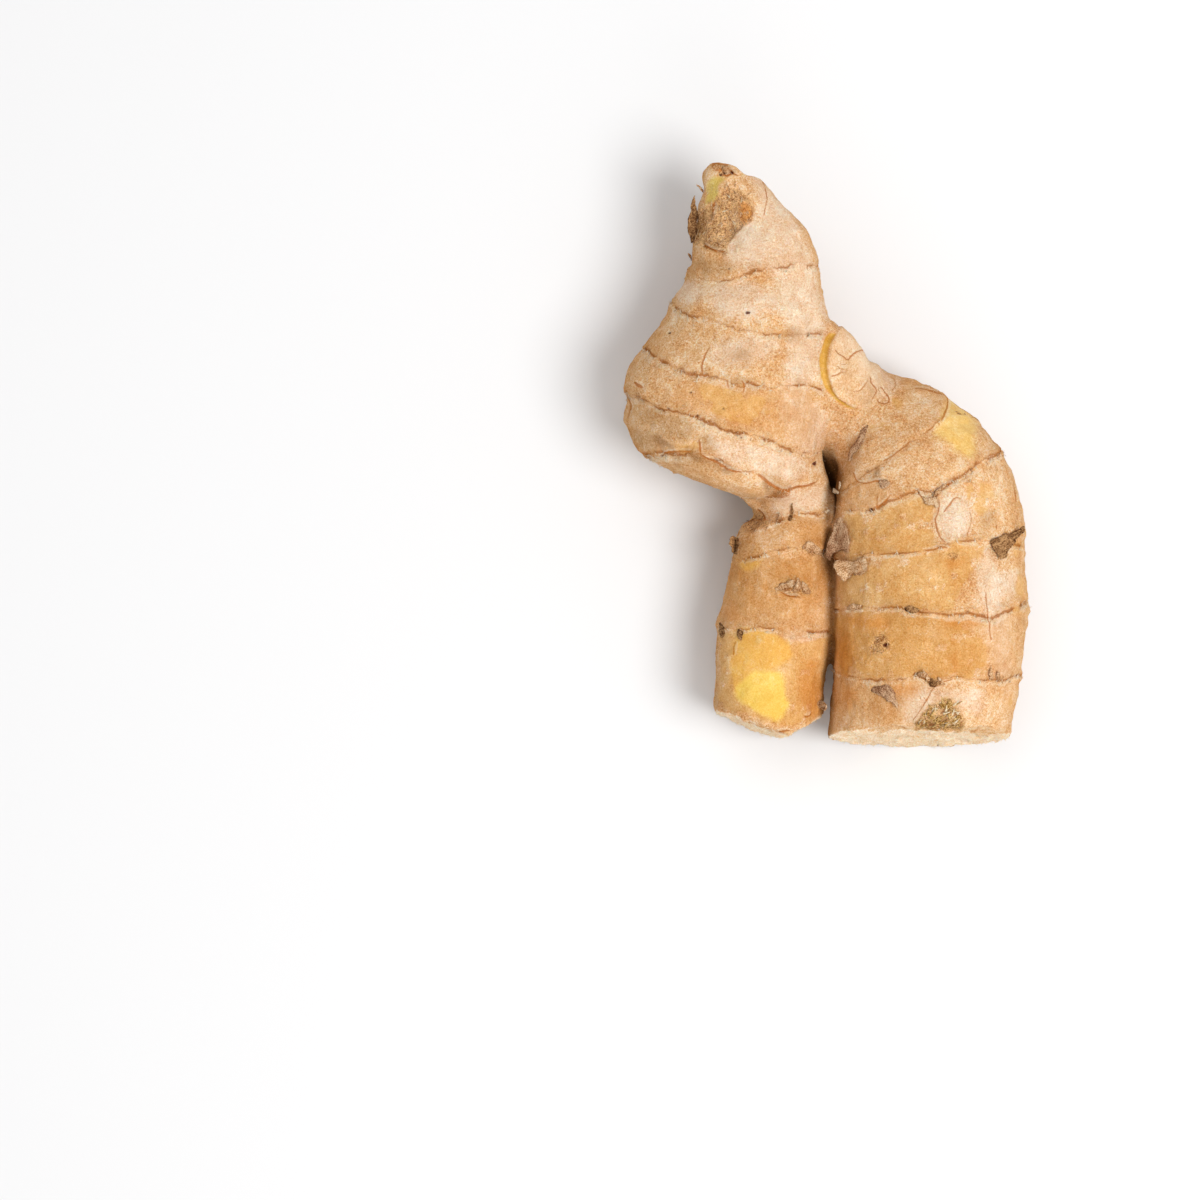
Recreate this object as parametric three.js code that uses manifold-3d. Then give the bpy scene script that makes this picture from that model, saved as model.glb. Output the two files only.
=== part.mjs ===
// Ginger root: one hand of fresh rhizome, lying on a flat surface.
// Millimetres, +Z up. The origin is on that surface, under the middle of the root's outline, with the
// shoot tip of the head lobe towards +Y and the two cut fingers towards -Y.
import * as THREE from "three";
import { LoftGeometry } from "three/addons/geometries/LoftGeometry.js";
import { mergeVertices } from "three/addons/utils/BufferGeometryUtils.js";
import Module from "manifold-3d";

const wasm = await Module();
wasm.setup();

const { Vector3 } = THREE;
const UP = new Vector3(0, 0, 1);

// ---- Driving dimensions ----

const AROUND = 46; // points in a cross-section
const ROW_STEP = 2.8; // widest spacing of cross-sections
const END_STEP = 0.3; // how far from a lobe's end its dome starts
const SEARCH_STEP = 0.1; // how finely a ring's place on its lobe is looked for
const DOME_POWER = 2.5; // 2 gives a round end, more a blunter one

// A leaf scale once sat on each ring. Its scar is a raised lip with a shallow gutter behind it:
// [distance past the ring, height].
const SCAR = [
  [-1.5, 0.05],
  [-0.1, 0.38],
  [0.35, -0.3],
  [2.2, 0.0],
];
const RING_WANDER = 0.55; // how far a ring strays along the lobe
const LUMPS = 0.018; // swelling of the flesh, as a share of the radius

const JOINT_PASSES = 12; // how thoroughly the crease between two lobes is melted away

// The fleshy joints of the rhizome, each drawn from one end to the other through stations
// [x, y, half width, clearance under its belly]. flatness is half height over half width. A ring is two
// places on it, seen from above, and how strongly it stands out: [x, y, x, y, strength]. The two ends are
// [depth of the dome, slant], where slant is how far a cross-section runs ahead per millimetre to its
// left. melt is how far from the crease the lobe blends into the others. A cut is a point on the face that
// a knife or a break left, and the way that face looks.
const LOBES = {
  head: {
    stations: [
      [-21.4, 58.4, 4.0, 21.5],
      [-19.9, 53.4, 5.9, 19],
      [-18.0, 48.9, 8.0, 15.5],
      [-16.5, 44.4, 10.6, 12],
      [-15.0, 39.5, 12.6, 9.5],
      [-14.6, 34.0, 14.1, 7],
      [-15.1, 28.5, 16.1, 4.8],
      [-15.9, 23.0, 17.5, 2.6],
      [-17.6, 17.5, 19.0, 0.9],
      [-19.7, 11.5, 20.5, -0.28],
      [-20.8, 5.4, 19.8, 0],
      [-21.6, -0.4, 18.0, 1],
      [-21.0, -6.4, 15.4, 2.4],
    ],
    flatness: 0.86,
    rings: [
      [-24.4, 34.9, -6.6, 36.3, 0.6],
      [-27.5, 26.9, -9.4, 23.1, 0.4],
      [-32.3, 17.9, -6.8, 13.3, 0.7],
      [-37.9, 11.7, -8.0, 0.8, 0.8],
      [-25.6, -0.5, -10.0, -6.4, 1],
    ],
    ends: [
      [3.5, 0],
      [5.0, 0.46],
    ],
    melt: 6.5,
    cuts: [{ at: [-20.4, 57.6, 27], facing: [0.36, 0.93, 0.05] }],
  },
  finger: {
    stations: [
      [-13, 15, 10.5, 6],
      [-4, 14, 12.4, 3.5],
      [4.1, 8.9, 11.3, 1.0],
      [12.0, 3.7, 14.0, 0.6],
      [17.2, -4.4, 17.9, 0.3],
      [20.1, -13.0, 19.0, -0.28],
      [20.7, -23.0, 19.4, -0.25],
      [21.1, -32.0, 19.7, -0.2],
      [20.3, -42.0, 19.0, -0.2],
      [19.3, -50.5, 18.3, -0.25],
      [19.2, -57.0, 17.9, -0.25],
      [19.1, -63.0, 17.6, -0.2],
    ],
    flatness: 0.88,
    rings: [
      [9.1, -1.4, 19.8, 5.1, 0.7],
      [6.9, -11.1, 30.9, -1.7, 0.9],
      [5.9, -20.5, 29.1, -17.3, 0.9],
      [4.2, -30.9, 34.8, -31.5, 1],
      [4.2, -43.9, 36.2, -44.4, 1],
    ],
    ends: [
      [5, 0],
      [2.4, 0],
    ],
    melt: 6.5,
    cuts: [{ at: [19, -56.2, 16], facing: [0, -0.985, 0.172] }],
  },
  thin_finger: {
    stations: [
      [-12.5, 3, 7.6, 8],
      [-6.9, -4.5, 8.9, 6.0],
      [-5.4, -10.5, 8.0, 5.6],
      [-8.0, -16, 9.8, 4.6],
      [-8.8, -25, 10.9, 3.8],
      [-9.4, -34, 11.5, 3.2],
      [-10.6, -43, 11.2, 3.4],
      [-11.2, -57.2, 11.4, 3],
    ],
    flatness: 0.95,
    rings: [
      [-14.8, -15.1, -1.5, -11.5, 1],
      [-17.1, -20.5, -2.1, -18.7, 0.7],
      [-18.1, -34.5, -1.1, -35.7, 1],
    ],
    ends: [
      [4, 0],
      [5, 0],
    ],
    melt: 2.2,
    cuts: [
      { at: [-16.1, -53.5, 14], facing: [-0.34, -0.93, 0.08] },
      { at: [-4.4, -54.4, 14], facing: [0.47, -0.88, 0.05] },
    ],
  },
  stub: {
    stations: [
      [1.2, 16.4, 9.4, 4.3],
      [2.9, 16.8, 9.4, 12.3],
      [4.3, 17.2, 9.3, 19.3],
      [5.7, 17.5, 9.2, 26.3],
    ],
    flatness: 0.61,
    rings: [],
    ends: [
      [3, 0],
      [3, 0],
    ],
    melt: 6.5,
    cuts: [{ at: [4.4, 17.2, 25], facing: [0.58, 0.14, 0.8] }],
  },
};

// Where the shoot broke away from the tip: a ragged hollow.
const TORN = { at: [-21.0, 46.0, 38.0], radius: 10.3, ragged: 0.6 };

// Buds and root scars, standing a little proud of the skin: [x, y, z, reach, height].
const BUDS = [
  [21.3, -51.0, 32, 5.2, 0.9],
  [9.0, -37.5, 31, 3.2, 0.6],
  [23.8, -19.7, 34, 4.2, 0.7],
  [35.6, -17.4, 24, 4.0, 0.7],
  [9.6, -4.9, 31, 3.4, 0.6],
  [5.9, 2.3, 26, 3.8, 0.7],
  [-7.0, -26.3, 24, 4.0, 0.8],
  [-19.0, -34.0, 14, 3.6, 0.8],
  [-39.5, 9.5, 15, 4.6, 0.9],
  [40.0, -33.0, 15, 4.4, 0.8],
  [30.0, 8.0, 14, 4.4, 0.8],
  [-12.0, 27.0, 3, 4.6, 0.8],
];
const CUT_DEPTH = 60; // size of the block that stands for everything a knife took away

// ---- Cross-sections ----

// A seeded wave round a lobe, between -1 and 1.
function wave(angle, turns, seed) {
  return Math.sin(turns * angle + seed * 12.9898);
}

// How far a ring strays along its lobe at an angle round it.
function wander(angle, seed) {
  const sum = wave(angle, 2, seed) + 0.6 * wave(angle, 5, seed + 1) + 0.4 * wave(angle, 9, seed + 2);
  return (RING_WANDER * sum) / 2;
}

// A rounded end: 0 at the end itself, 1 where the dome meets the lobe.
function dome(distance, depth) {
  const inside = 1 - Math.min(distance / depth, 1);
  return (1 - inside ** DOME_POWER) ** (1 / DOME_POWER);
}

function centreline(lobe) {
  const { stations, flatness } = lobe;
  const path = new THREE.CatmullRomCurve3(
    stations.map(([x, y, r, lift]) => new Vector3(x, y, r * flatness + lift)),
    false,
    "catmullrom",
  );
  const girth = new THREE.CatmullRomCurve3(
    stations.map(([, , r]) => new Vector3(r, 0, 0)),
    false,
    "catmullrom",
  );
  path.arcLengthDivisions = 400;
  return { path, girth, length: path.getLength() };
}

// Where a place on the lobe's upper side, seen from above, lies: [distance along it, distance to its left].
function placeOn({ flatness, line: { path, girth, length } }, x, y) {
  let best = { miss: Infinity };
  for (let s = 0; s <= length; s += SEARCH_STEP) {
    const t = path.getUtoTmapping(s / length);
    const centre = path.getPoint(t);
    const ahead = path.getTangent(t);
    const side = new Vector3().crossVectors(UP, ahead).normalize();
    const top = new Vector3().crossVectors(ahead, side);
    const r = girth.getPoint(t).x;
    const left = (x - centre.x) * side.x + (y - centre.y) * side.y;
    if (Math.abs(left) > r) continue;
    const up = flatness * Math.sqrt(r * r - left * left);
    const past = (x - centre.x - up * top.x) * ahead.x + (y - centre.y - up * top.y) * ahead.y;
    if (Math.abs(past) < best.miss) best = { miss: Math.abs(past), at: [s, left] };
  }
  return best.at;
}

// A ring's distance along the lobe's middle line, its slant from the two places it passes through, and its
// strength.
function ringAlong(lobe, [x1, y1, x2, y2, strength]) {
  const [s1, left1] = placeOn(lobe, x1, y1);
  const [s2, left2] = placeOn(lobe, x2, y2);
  const slant = (s2 - s1) / (left2 - left1);
  return [s1 - slant * left1, slant, strength];
}

// Where the cross-sections go: four on each ring, dense in the domes, and evenly between.
function rowsOf(lobe, length) {
  const fixed = [END_STEP, length - END_STEP];
  for (const share of [0.12, 0.35, 0.7]) {
    fixed.push(lobe.ends[0][0] * share, length - lobe.ends[1][0] * share);
  }
  for (const [scar] of lobe.scars) SCAR.forEach(([past]) => fixed.push(scar + past));
  fixed.sort((a, b) => a - b);
  const rows = [fixed[0]];
  for (const next of fixed.slice(1)) {
    const last = rows[rows.length - 1];
    const gaps = Math.max(1, Math.ceil((next - last) / ROW_STEP));
    for (let i = 1; i <= gaps; i++) rows.push(last + ((next - last) * i) / gaps);
  }
  return rows;
}

// The height of the leaf scar at a distance along the lobe.
function scarHeight(lobe, s) {
  let height = 0;
  for (const [scar, , strength] of lobe.scars) {
    const past = s - scar;
    for (let i = 1; i < SCAR.length; i++) {
      const [a, ha] = SCAR[i - 1];
      const [b, hb] = SCAR[i];
      if (past >= a && past <= b) height = strength * (ha + ((hb - ha) * (past - a)) / (b - a));
    }
  }
  return height;
}

// How far the buds lift the skin at a point.
function budHeight(point) {
  let height = 0;
  for (const [x, y, z, reach, tall] of BUDS) {
    const near = 1 - point.distanceToSquared(new Vector3(x, y, z)) / (reach * reach);
    if (near > 0) height += tall * near;
  }
  return height;
}

// The slant of the growth at a distance along the lobe, straight between one ring and the next.
function slantAt(lobe, length, s) {
  const marks = [[0, lobe.ends[0][1]], ...lobe.scars, [length, lobe.ends[1][1]]];
  const after = Math.max(1, marks.findIndex(([at]) => at >= s));
  const [[a, slantA], [b, slantB]] = [marks[after - 1], marks[after]];
  return slantA + ((slantB - slantA) * (s - a)) / (b - a);
}

function loft(lobe, seed) {
  const { path, girth, length } = lobe.line;
  const sections = rowsOf(lobe, length).map((s) => {
    const t = path.getUtoTmapping(s / length);
    const centre = path.getPoint(t);
    const ahead = path.getTangent(t);
    const side = new Vector3().crossVectors(UP, ahead).normalize();
    const top = new Vector3().crossVectors(ahead, side);
    const ends = dome(s, lobe.ends[0][0]) * dome(length - s, lobe.ends[1][0]);
    const slant = slantAt(lobe, length, s);
    const nearest = lobe.scars.reduce((a, [b]) => (Math.abs(b - s) < Math.abs(a - s) ? b : a), -100);
    const follow = Math.max(0, 1 - Math.abs(nearest - s) / (2 * ROW_STEP)) * Math.min(1, ends * 2);
    const points = [];
    for (let i = 0; i < AROUND; i++) {
      const angle = (i / AROUND) * 2 * Math.PI;
      const swell = 1 + LUMPS * (wave(angle, 2, seed + s / 90) + 0.7 * wave(angle, 3, seed + 4 + s / 60));
      const r = ends * (girth.getPoint(t).x * swell + scarHeight(lobe, s));
      const out = new Vector3()
        .addScaledVector(side, Math.cos(angle))
        .addScaledVector(top, lobe.flatness * Math.sin(angle));
      const on = centre
        .clone()
        .addScaledVector(out, r)
        .addScaledVector(ahead, follow * wander(angle, seed + nearest) + slant * r * Math.cos(angle));
      points.push(on.addScaledVector(out, ends * budHeight(on)));
    }
    return points;
  });
  return new LoftGeometry(sections, { capStart: true, capEnd: true });
}

// ---- Solids ----

function solidOf(geometry) {
  const bare = new THREE.BufferGeometry().copy(geometry);
  bare.deleteAttribute("normal");
  bare.deleteAttribute("uv");
  const merged = mergeVertices(bare, 1e-4);
  return new wasm.Manifold(
    new wasm.Mesh({
      numProp: 3,
      vertProperties: new Float32Array(merged.attributes.position.array),
      triVerts: new Uint32Array(merged.index.array),
    }),
  );
}

function geometryOf(solid) {
  const { vertProperties, triVerts } = solid.getMesh();
  const geometry = new THREE.BufferGeometry();
  geometry.setAttribute("position", new THREE.BufferAttribute(vertProperties, 3));
  geometry.setIndex(new THREE.BufferAttribute(triVerts, 1));
  geometry.computeVertexNormals();
  return geometry;
}

// How far a point is from a lobe's skin.
function gapTo(lobe, point) {
  const { path, girth } = lobe.line;
  let least = Infinity;
  for (let i = 0; i <= 60; i++) {
    const centre = path.getPoint(i / 60);
    const dz = (point.z - centre.z) / lobe.flatness;
    const gap = Math.hypot(point.x - centre.x, point.y - centre.y, dz) - girth.getPoint(i / 60).x;
    least = Math.min(least, gap);
  }
  return least;
}

// Melts the creases between joined lobes by averaging each vertex there with its neighbours. What a
// knife cut stays flat.
function melt(geometry, lobes) {
  const knifeFaces = lobes.flatMap(({ cuts }) =>
    cuts.map(({ at, facing }) =>
      new THREE.Plane().setFromNormalAndCoplanarPoint(new Vector3(...facing).normalize(), new Vector3(...at)),
    ),
  );
  const position = geometry.attributes.position;
  const index = geometry.index.array;
  const neighbours = Array.from({ length: position.count }, () => new Set());
  for (let i = 0; i < index.length; i += 3) {
    for (let k = 0; k < 3; k++) {
      neighbours[index[i + k]].add(index[i + ((k + 1) % 3)]);
      neighbours[index[i + k]].add(index[i + ((k + 2) % 3)]);
    }
  }
  const point = new Vector3();
  const softness = Array.from({ length: position.count }, (_, i) => {
    point.fromBufferAttribute(position, i);
    if (knifeFaces.some((face) => Math.abs(face.distanceToPoint(point)) < 0.01)) return 0;
    const [own, other] = lobes
      .map((lobe) => ({ gap: gapTo(lobe, point), melt: lobe.melt }))
      .sort((a, b) => a.gap - b.gap);
    return THREE.MathUtils.clamp(1 - other.gap / Math.min(own.melt, other.melt), 0, 1);
  });
  for (let pass = 0; pass < JOINT_PASSES; pass++) {
    const moved = softness.map((share, i) => {
      point.fromBufferAttribute(position, i);
      if (share === 0) return point.clone();
      const mean = new Vector3();
      for (const n of neighbours[i]) mean.add(new Vector3().fromBufferAttribute(position, n));
      return point.clone().lerp(mean.divideScalar(neighbours[i].size), 0.5 * share);
    });
    moved.forEach((p, i) => position.setXYZ(i, p.x, p.y, p.z));
  }
  return geometry;
}

// A block that takes away everything past a face.
function blockPast({ at, facing }) {
  const block = new THREE.BoxGeometry(CUT_DEPTH, CUT_DEPTH, CUT_DEPTH);
  const normal = new Vector3(...facing).normalize();
  block.translate(0, 0, CUT_DEPTH / 2);
  block.applyQuaternion(new THREE.Quaternion().setFromUnitVectors(UP, normal));
  block.translate(...at);
  return solidOf(block);
}

// The ragged ball of tissue that came away with the shoot.
function tornAway({ at, radius, ragged }) {
  const ball = new THREE.IcosahedronGeometry(radius, 6);
  const position = ball.attributes.position;
  const point = new Vector3();
  for (let i = 0; i < position.count; i++) {
    point.fromBufferAttribute(position, i);
    const crag = wave(point.x, 2.1, 3) * wave(point.y, 1.7, 5) + 0.6 * wave(point.x + point.y, 3.3, 7);
    point.setLength(radius + ragged * crag);
    position.setXYZ(i, point.x, point.y, point.z);
  }
  ball.translate(...at);
  return solidOf(ball);
}

function solidLobe(lobe, i) {
  return lobe.cuts.reduce((solid, cut) => solid.subtract(blockPast(cut)), solidOf(loft(lobe, i + 1)));
}

const lobes = Object.values(LOBES);
for (const lobe of lobes) {
  lobe.line = centreline(lobe);
  lobe.scars = lobe.rings.map((ring) => ringAlong(lobe, ring));
}
const joined = lobes.map(solidLobe).reduce((whole, lobe) => whole.add(lobe));
const floor = new THREE.BoxGeometry(200, 200, 20).translate(0, 0, -10);
const root = solidOf(melt(geometryOf(joined), lobes))
  .subtract(tornAway(TORN))
  .subtract(solidOf(floor));

const skin = new THREE.MeshStandardMaterial({ color: 0xd9b384, roughness: 0.7, metalness: 0 });
const rhizome = new THREE.Mesh(geometryOf(root), skin);
rhizome.name = "rhizome";

const ginger = new THREE.Group();
ginger.add(rhizome);

export default ginger;
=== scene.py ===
"""A fresh ginger root lying on white card.

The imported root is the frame. One fine skin replaces it: the same joints, with their leaf scars, rubbed
patches, buds and cuts worked into the surface. Dry scales and loose fibres are separate pieces on that skin.
Sizes are in millimetres and become metres as each mesh is written. Left and right are those of someone who
looks along a joint towards its growing end, from above.
"""

import bmesh
import bpy
import numpy as np
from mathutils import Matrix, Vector
from mathutils.bvhtree import BVHTree
from mathutils.geometry import delaunay_2d_cdt


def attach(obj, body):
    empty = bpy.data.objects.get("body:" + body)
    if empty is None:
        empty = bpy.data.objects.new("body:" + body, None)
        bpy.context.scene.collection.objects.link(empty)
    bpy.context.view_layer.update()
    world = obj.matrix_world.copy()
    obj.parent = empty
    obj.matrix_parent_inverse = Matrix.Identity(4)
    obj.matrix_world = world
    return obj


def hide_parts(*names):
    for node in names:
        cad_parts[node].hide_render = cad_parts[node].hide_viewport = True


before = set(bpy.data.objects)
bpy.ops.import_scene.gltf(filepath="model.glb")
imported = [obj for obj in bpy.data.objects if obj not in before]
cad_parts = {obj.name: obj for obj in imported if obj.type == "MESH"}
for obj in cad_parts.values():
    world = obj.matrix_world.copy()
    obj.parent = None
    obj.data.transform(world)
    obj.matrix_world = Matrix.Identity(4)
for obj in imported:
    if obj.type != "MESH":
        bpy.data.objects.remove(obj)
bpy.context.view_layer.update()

MM = 0.001

# ---- Camera, light and table ----

EYE = np.array([-45.1, -28.9, 685.0])  # the camera looks straight down from here
SIGHT_LEVEL = 18.0  # places named in pixels are laid out at this height
LENS, SENSOR, FRAME_PIXELS = 100.0, 36.0, 1200
PIXEL = (EYE[2] - SIGHT_LEVEL) * SENSOR / LENS / FRAME_PIXELS  # millimetres a pixel spans at that height

# Each light faces the root: where it stands and how wide it is, in metres, its power and its colour.
LIGHTS = {
    "window": ((0.46, -0.20, 0.95), 0.6, 8.4, (1.0, 0.99, 0.975)),
    "wall": ((-0.3, 0.6, 1.0), 1.0, 2.6, (1.0, 0.98, 0.96)),
    "reflector": ((0.15, -0.9, 0.4), 0.8, 1.8, (1.0, 0.97, 0.93)),
}
ROOM_COLOUR, ROOM_LIGHT = (1.0, 0.99, 0.975, 1), 0.52
CARD_HALF = 3.0  # half the card's width, in metres


def on_level(pixels):
    """Places in pixels of the frame, from its top left, as x and y at the sight level."""
    pixels = np.asarray(pixels, float)
    centre = FRAME_PIXELS / 2
    return EYE[:2] + (pixels - centre) * [PIXEL, -PIXEL]


def placed(name, data):
    """A new object in the scene."""
    made = bpy.data.objects.new(name, data)
    bpy.context.scene.collection.objects.link(made)
    return made


def add_camera():
    data = bpy.data.cameras.new("camera")
    data.lens, data.sensor_width, data.clip_end = LENS, SENSOR, 10
    camera = placed("camera", data)
    camera.location = EYE * MM
    bpy.context.scene.camera = camera


def add_light(name, place, size, power, colour):
    data = bpy.data.lights.new(name, "AREA")
    data.shape, data.size, data.energy, data.color = "DISK", size, power, colour
    light = placed(name, data)
    light.location = place
    light.rotation_euler = (-Vector(place)).to_track_quat("-Z", "Y").to_euler()


def light_room():
    world = bpy.data.worlds.new("soft room")
    world.use_nodes = True
    background = world.node_tree.nodes["Background"]
    background.inputs["Color"].default_value = ROOM_COLOUR
    background.inputs["Strength"].default_value = ROOM_LIGHT
    bpy.context.scene.world = world


def linear(code):
    """The linear colour of an sRGB hex code."""
    channels = [int(code[i : i + 2], 16) / 255 for i in (1, 3, 5)]
    return [c / 12.92 if c <= 0.04045 else ((c + 0.055) / 1.055) ** 2.4 for c in channels] + [1.0]


def add(tree, kind, settings=None, links=None, stops=()):
    """Adds a node: settings go on it or its inputs, links come from other nodes, stops colour a ramp."""
    made = tree.nodes.new(kind)
    for key, value in (settings or {}).items():
        if isinstance(key, str) and hasattr(made, key):
            setattr(made, key, value)
        else:
            made.inputs[key].default_value = value
    for key, source in (links or {}).items():
        tree.links.new(source, made.inputs[key])
    while stops and len(made.color_ramp.elements) < len(stops):
        made.color_ramp.elements.new(1.0)
    for i, (at, colour) in enumerate(stops):
        stop = made.color_ramp.elements[i]
        stop.position, stop.color = at, linear(colour)
    return made


def new_material(name):
    material = bpy.data.materials.new(name)
    material.use_nodes = True
    material.node_tree.nodes.clear()
    return material, material.node_tree


def lay_table():
    """Uncoated white card: no grain and no gloss, so the eye meets only the root's own soft shadow."""
    mesh = bpy.data.meshes.new("table")
    corners = [(x * CARD_HALF, y * CARD_HALF, 0) for x, y in ((-1, -1), (1, -1), (1, 1), (-1, 1))]
    mesh.from_pydata(corners, [], [(0, 1, 2, 3)])
    table = placed("table", mesh)
    material, tree = new_material("uncoated white card")
    settings = {"Base Color": linear("#E6E7E9"), "Roughness": 0.9, "Specular IOR Level": 0.1}
    shader = add(tree, "ShaderNodeBsdfPrincipled", settings)
    add(tree, "ShaderNodeOutputMaterial", links={"Surface": shader.outputs[0]})
    mesh.materials.append(material)


add_camera()
for name, light in LIGHTS.items():
    add_light(name, *light)
light_room()
lay_table()
bpy.context.scene.view_settings.view_transform = "Standard"

# ---- The joints of the rhizome ----

# Stations are (x, y, half width, clearance under the belly); flatness is half height over half width.
LOBES = {
    "head": {
        "flatness": 0.86,
        "stations": [
            (-21.4, 58.4, 4.0, 21.5), (-19.9, 53.4, 5.9, 19), (-18.0, 48.9, 8.0, 15.5),
            (-16.5, 44.4, 10.6, 12), (-15.0, 39.5, 12.6, 9.5), (-14.6, 34.0, 14.1, 7),
            (-15.1, 28.5, 16.1, 4.8), (-15.9, 23.0, 17.5, 2.6), (-17.6, 17.5, 19.0, 0.9),
            (-19.7, 11.5, 20.5, -0.28), (-20.8, 5.4, 19.8, 0), (-21.6, -0.4, 18.0, 1),
            (-21.0, -6.4, 15.4, 2.4),
        ],
    },
    "finger": {
        "flatness": 0.88,
        "stations": [
            (-13, 15, 10.5, 6), (-4, 14, 12.4, 3.5), (4.1, 8.9, 11.3, 1.0), (12.0, 3.7, 14.0, 0.6),
            (17.2, -4.4, 17.9, 0.3), (20.1, -13.0, 19.0, -0.28), (20.7, -23.0, 19.4, -0.25),
            (21.1, -32.0, 19.7, -0.2), (20.3, -42.0, 19.0, -0.2), (19.3, -50.5, 18.3, -0.25),
            (19.2, -57.0, 17.9, -0.25), (19.1, -63.0, 17.6, -0.2),
        ],
    },
    "thin_finger": {
        "flatness": 0.95,
        "stations": [
            (-12.5, 3, 7.6, 8), (-6.9, -4.5, 8.9, 6.0), (-5.4, -10.5, 8.0, 5.6), (-8.0, -16, 9.8, 4.6),
            (-8.8, -25, 10.9, 3.8), (-9.4, -34, 11.5, 3.2), (-10.6, -43, 11.2, 3.4),
            (-11.2, -57.2, 11.4, 3),
        ],
    },
    "stub": {
        "flatness": 0.61,
        "stations": [
            (1.2, 16.4, 9.4, 4.3), (2.9, 16.8, 9.4, 12.3), (4.3, 17.2, 9.3, 19.3), (5.7, 17.5, 9.2, 26.3),
        ],
    },
}
FINGER, THIN_FINGER = list(LOBES).index("finger"), list(LOBES).index("thin_finger")

# Knife faces: a point on each, the way it looks, and how far the face reaches from that point.
KNIFE_FACES = {
    "thin_left": ([-16.1, -53.5, 14], [-0.34, -0.93, 0.08], 14),
    "thin_right": ([-4.4, -54.4, 14], [0.47, -0.88, 0.05], 14),
    "thick_end": ([19, -56.2, 16], [0, -0.985, 0.172], 21),
}

# ---- Places on the upper side, in pixels of the frame ----

# The line of each leaf scar, left to right in the frame, and how strongly it shows.
RING_LINES = {
    "head": [
        (0.65, [(692, 272), (701, 278), (722, 281), (743, 275), (759, 271), (786, 266), (797, 263),
                (821, 267)]),
        (0.6, [(673, 302), (687, 315), (706, 317), (725, 325), (749, 330), (770, 334), (790, 335)]),
        (0.85, [(647, 349), (661, 361), (682, 370), (701, 373), (719, 379), (741, 386), (749, 382),
                (770, 386), (797, 385), (812, 386)]),
        (1.0, [(626, 392), (645, 400), (658, 407), (677, 412), (695, 416), (711, 423), (727, 430),
               (746, 435), (762, 439), (781, 445), (797, 452), (813, 453)]),
        (0.8, [(702, 453), (717, 460), (727, 467), (741, 471), (759, 475), (770, 483), (783, 491)]),
    ],
    "finger": [
        (0.3, [(884, 461), (901, 447), (926, 432), (941, 416)]),
        (0.75, [(838, 512), (873, 509), (887, 502), (917, 492), (936, 493), (960, 478), (978, 464),
                (1004, 453)]),
        (0.7, [(846, 560), (865, 556), (887, 555), (917, 553), (934, 548), (964, 541), (982, 542)]),
        (0.9, [(842, 609), (859, 608), (875, 609), (894, 607), (908, 611), (938, 613), (971, 615),
               (990, 618), (1004, 612), (1026, 602)]),
        (0.9, [(838, 673), (863, 679), (882, 680), (905, 679), (917, 674), (929, 680), (957, 678),
               (994, 679), (1020, 676)]),
    ],
    "thin_finger": [
        (0.85, [(741, 535), (759, 527), (781, 520), (794, 515), (813, 513), (831, 512)]),
        (0.7, [(731, 560), (748, 557), (765, 553), (782, 549), (801, 549), (822, 551)]),
        (0.8, [(721, 627), (746, 628), (764, 627), (782, 632), (793, 639), (801, 633), (815, 631),
               (832, 632)]),
    ],
}

# The rim that the sliced face and the wall beside it share.
SLICE_RIM = [
    (860, 410), (852, 407), (845, 403), (838, 398), (833, 390), (830, 380), (828, 370), (828, 360),
    (829, 350), (833, 340),
]

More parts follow.
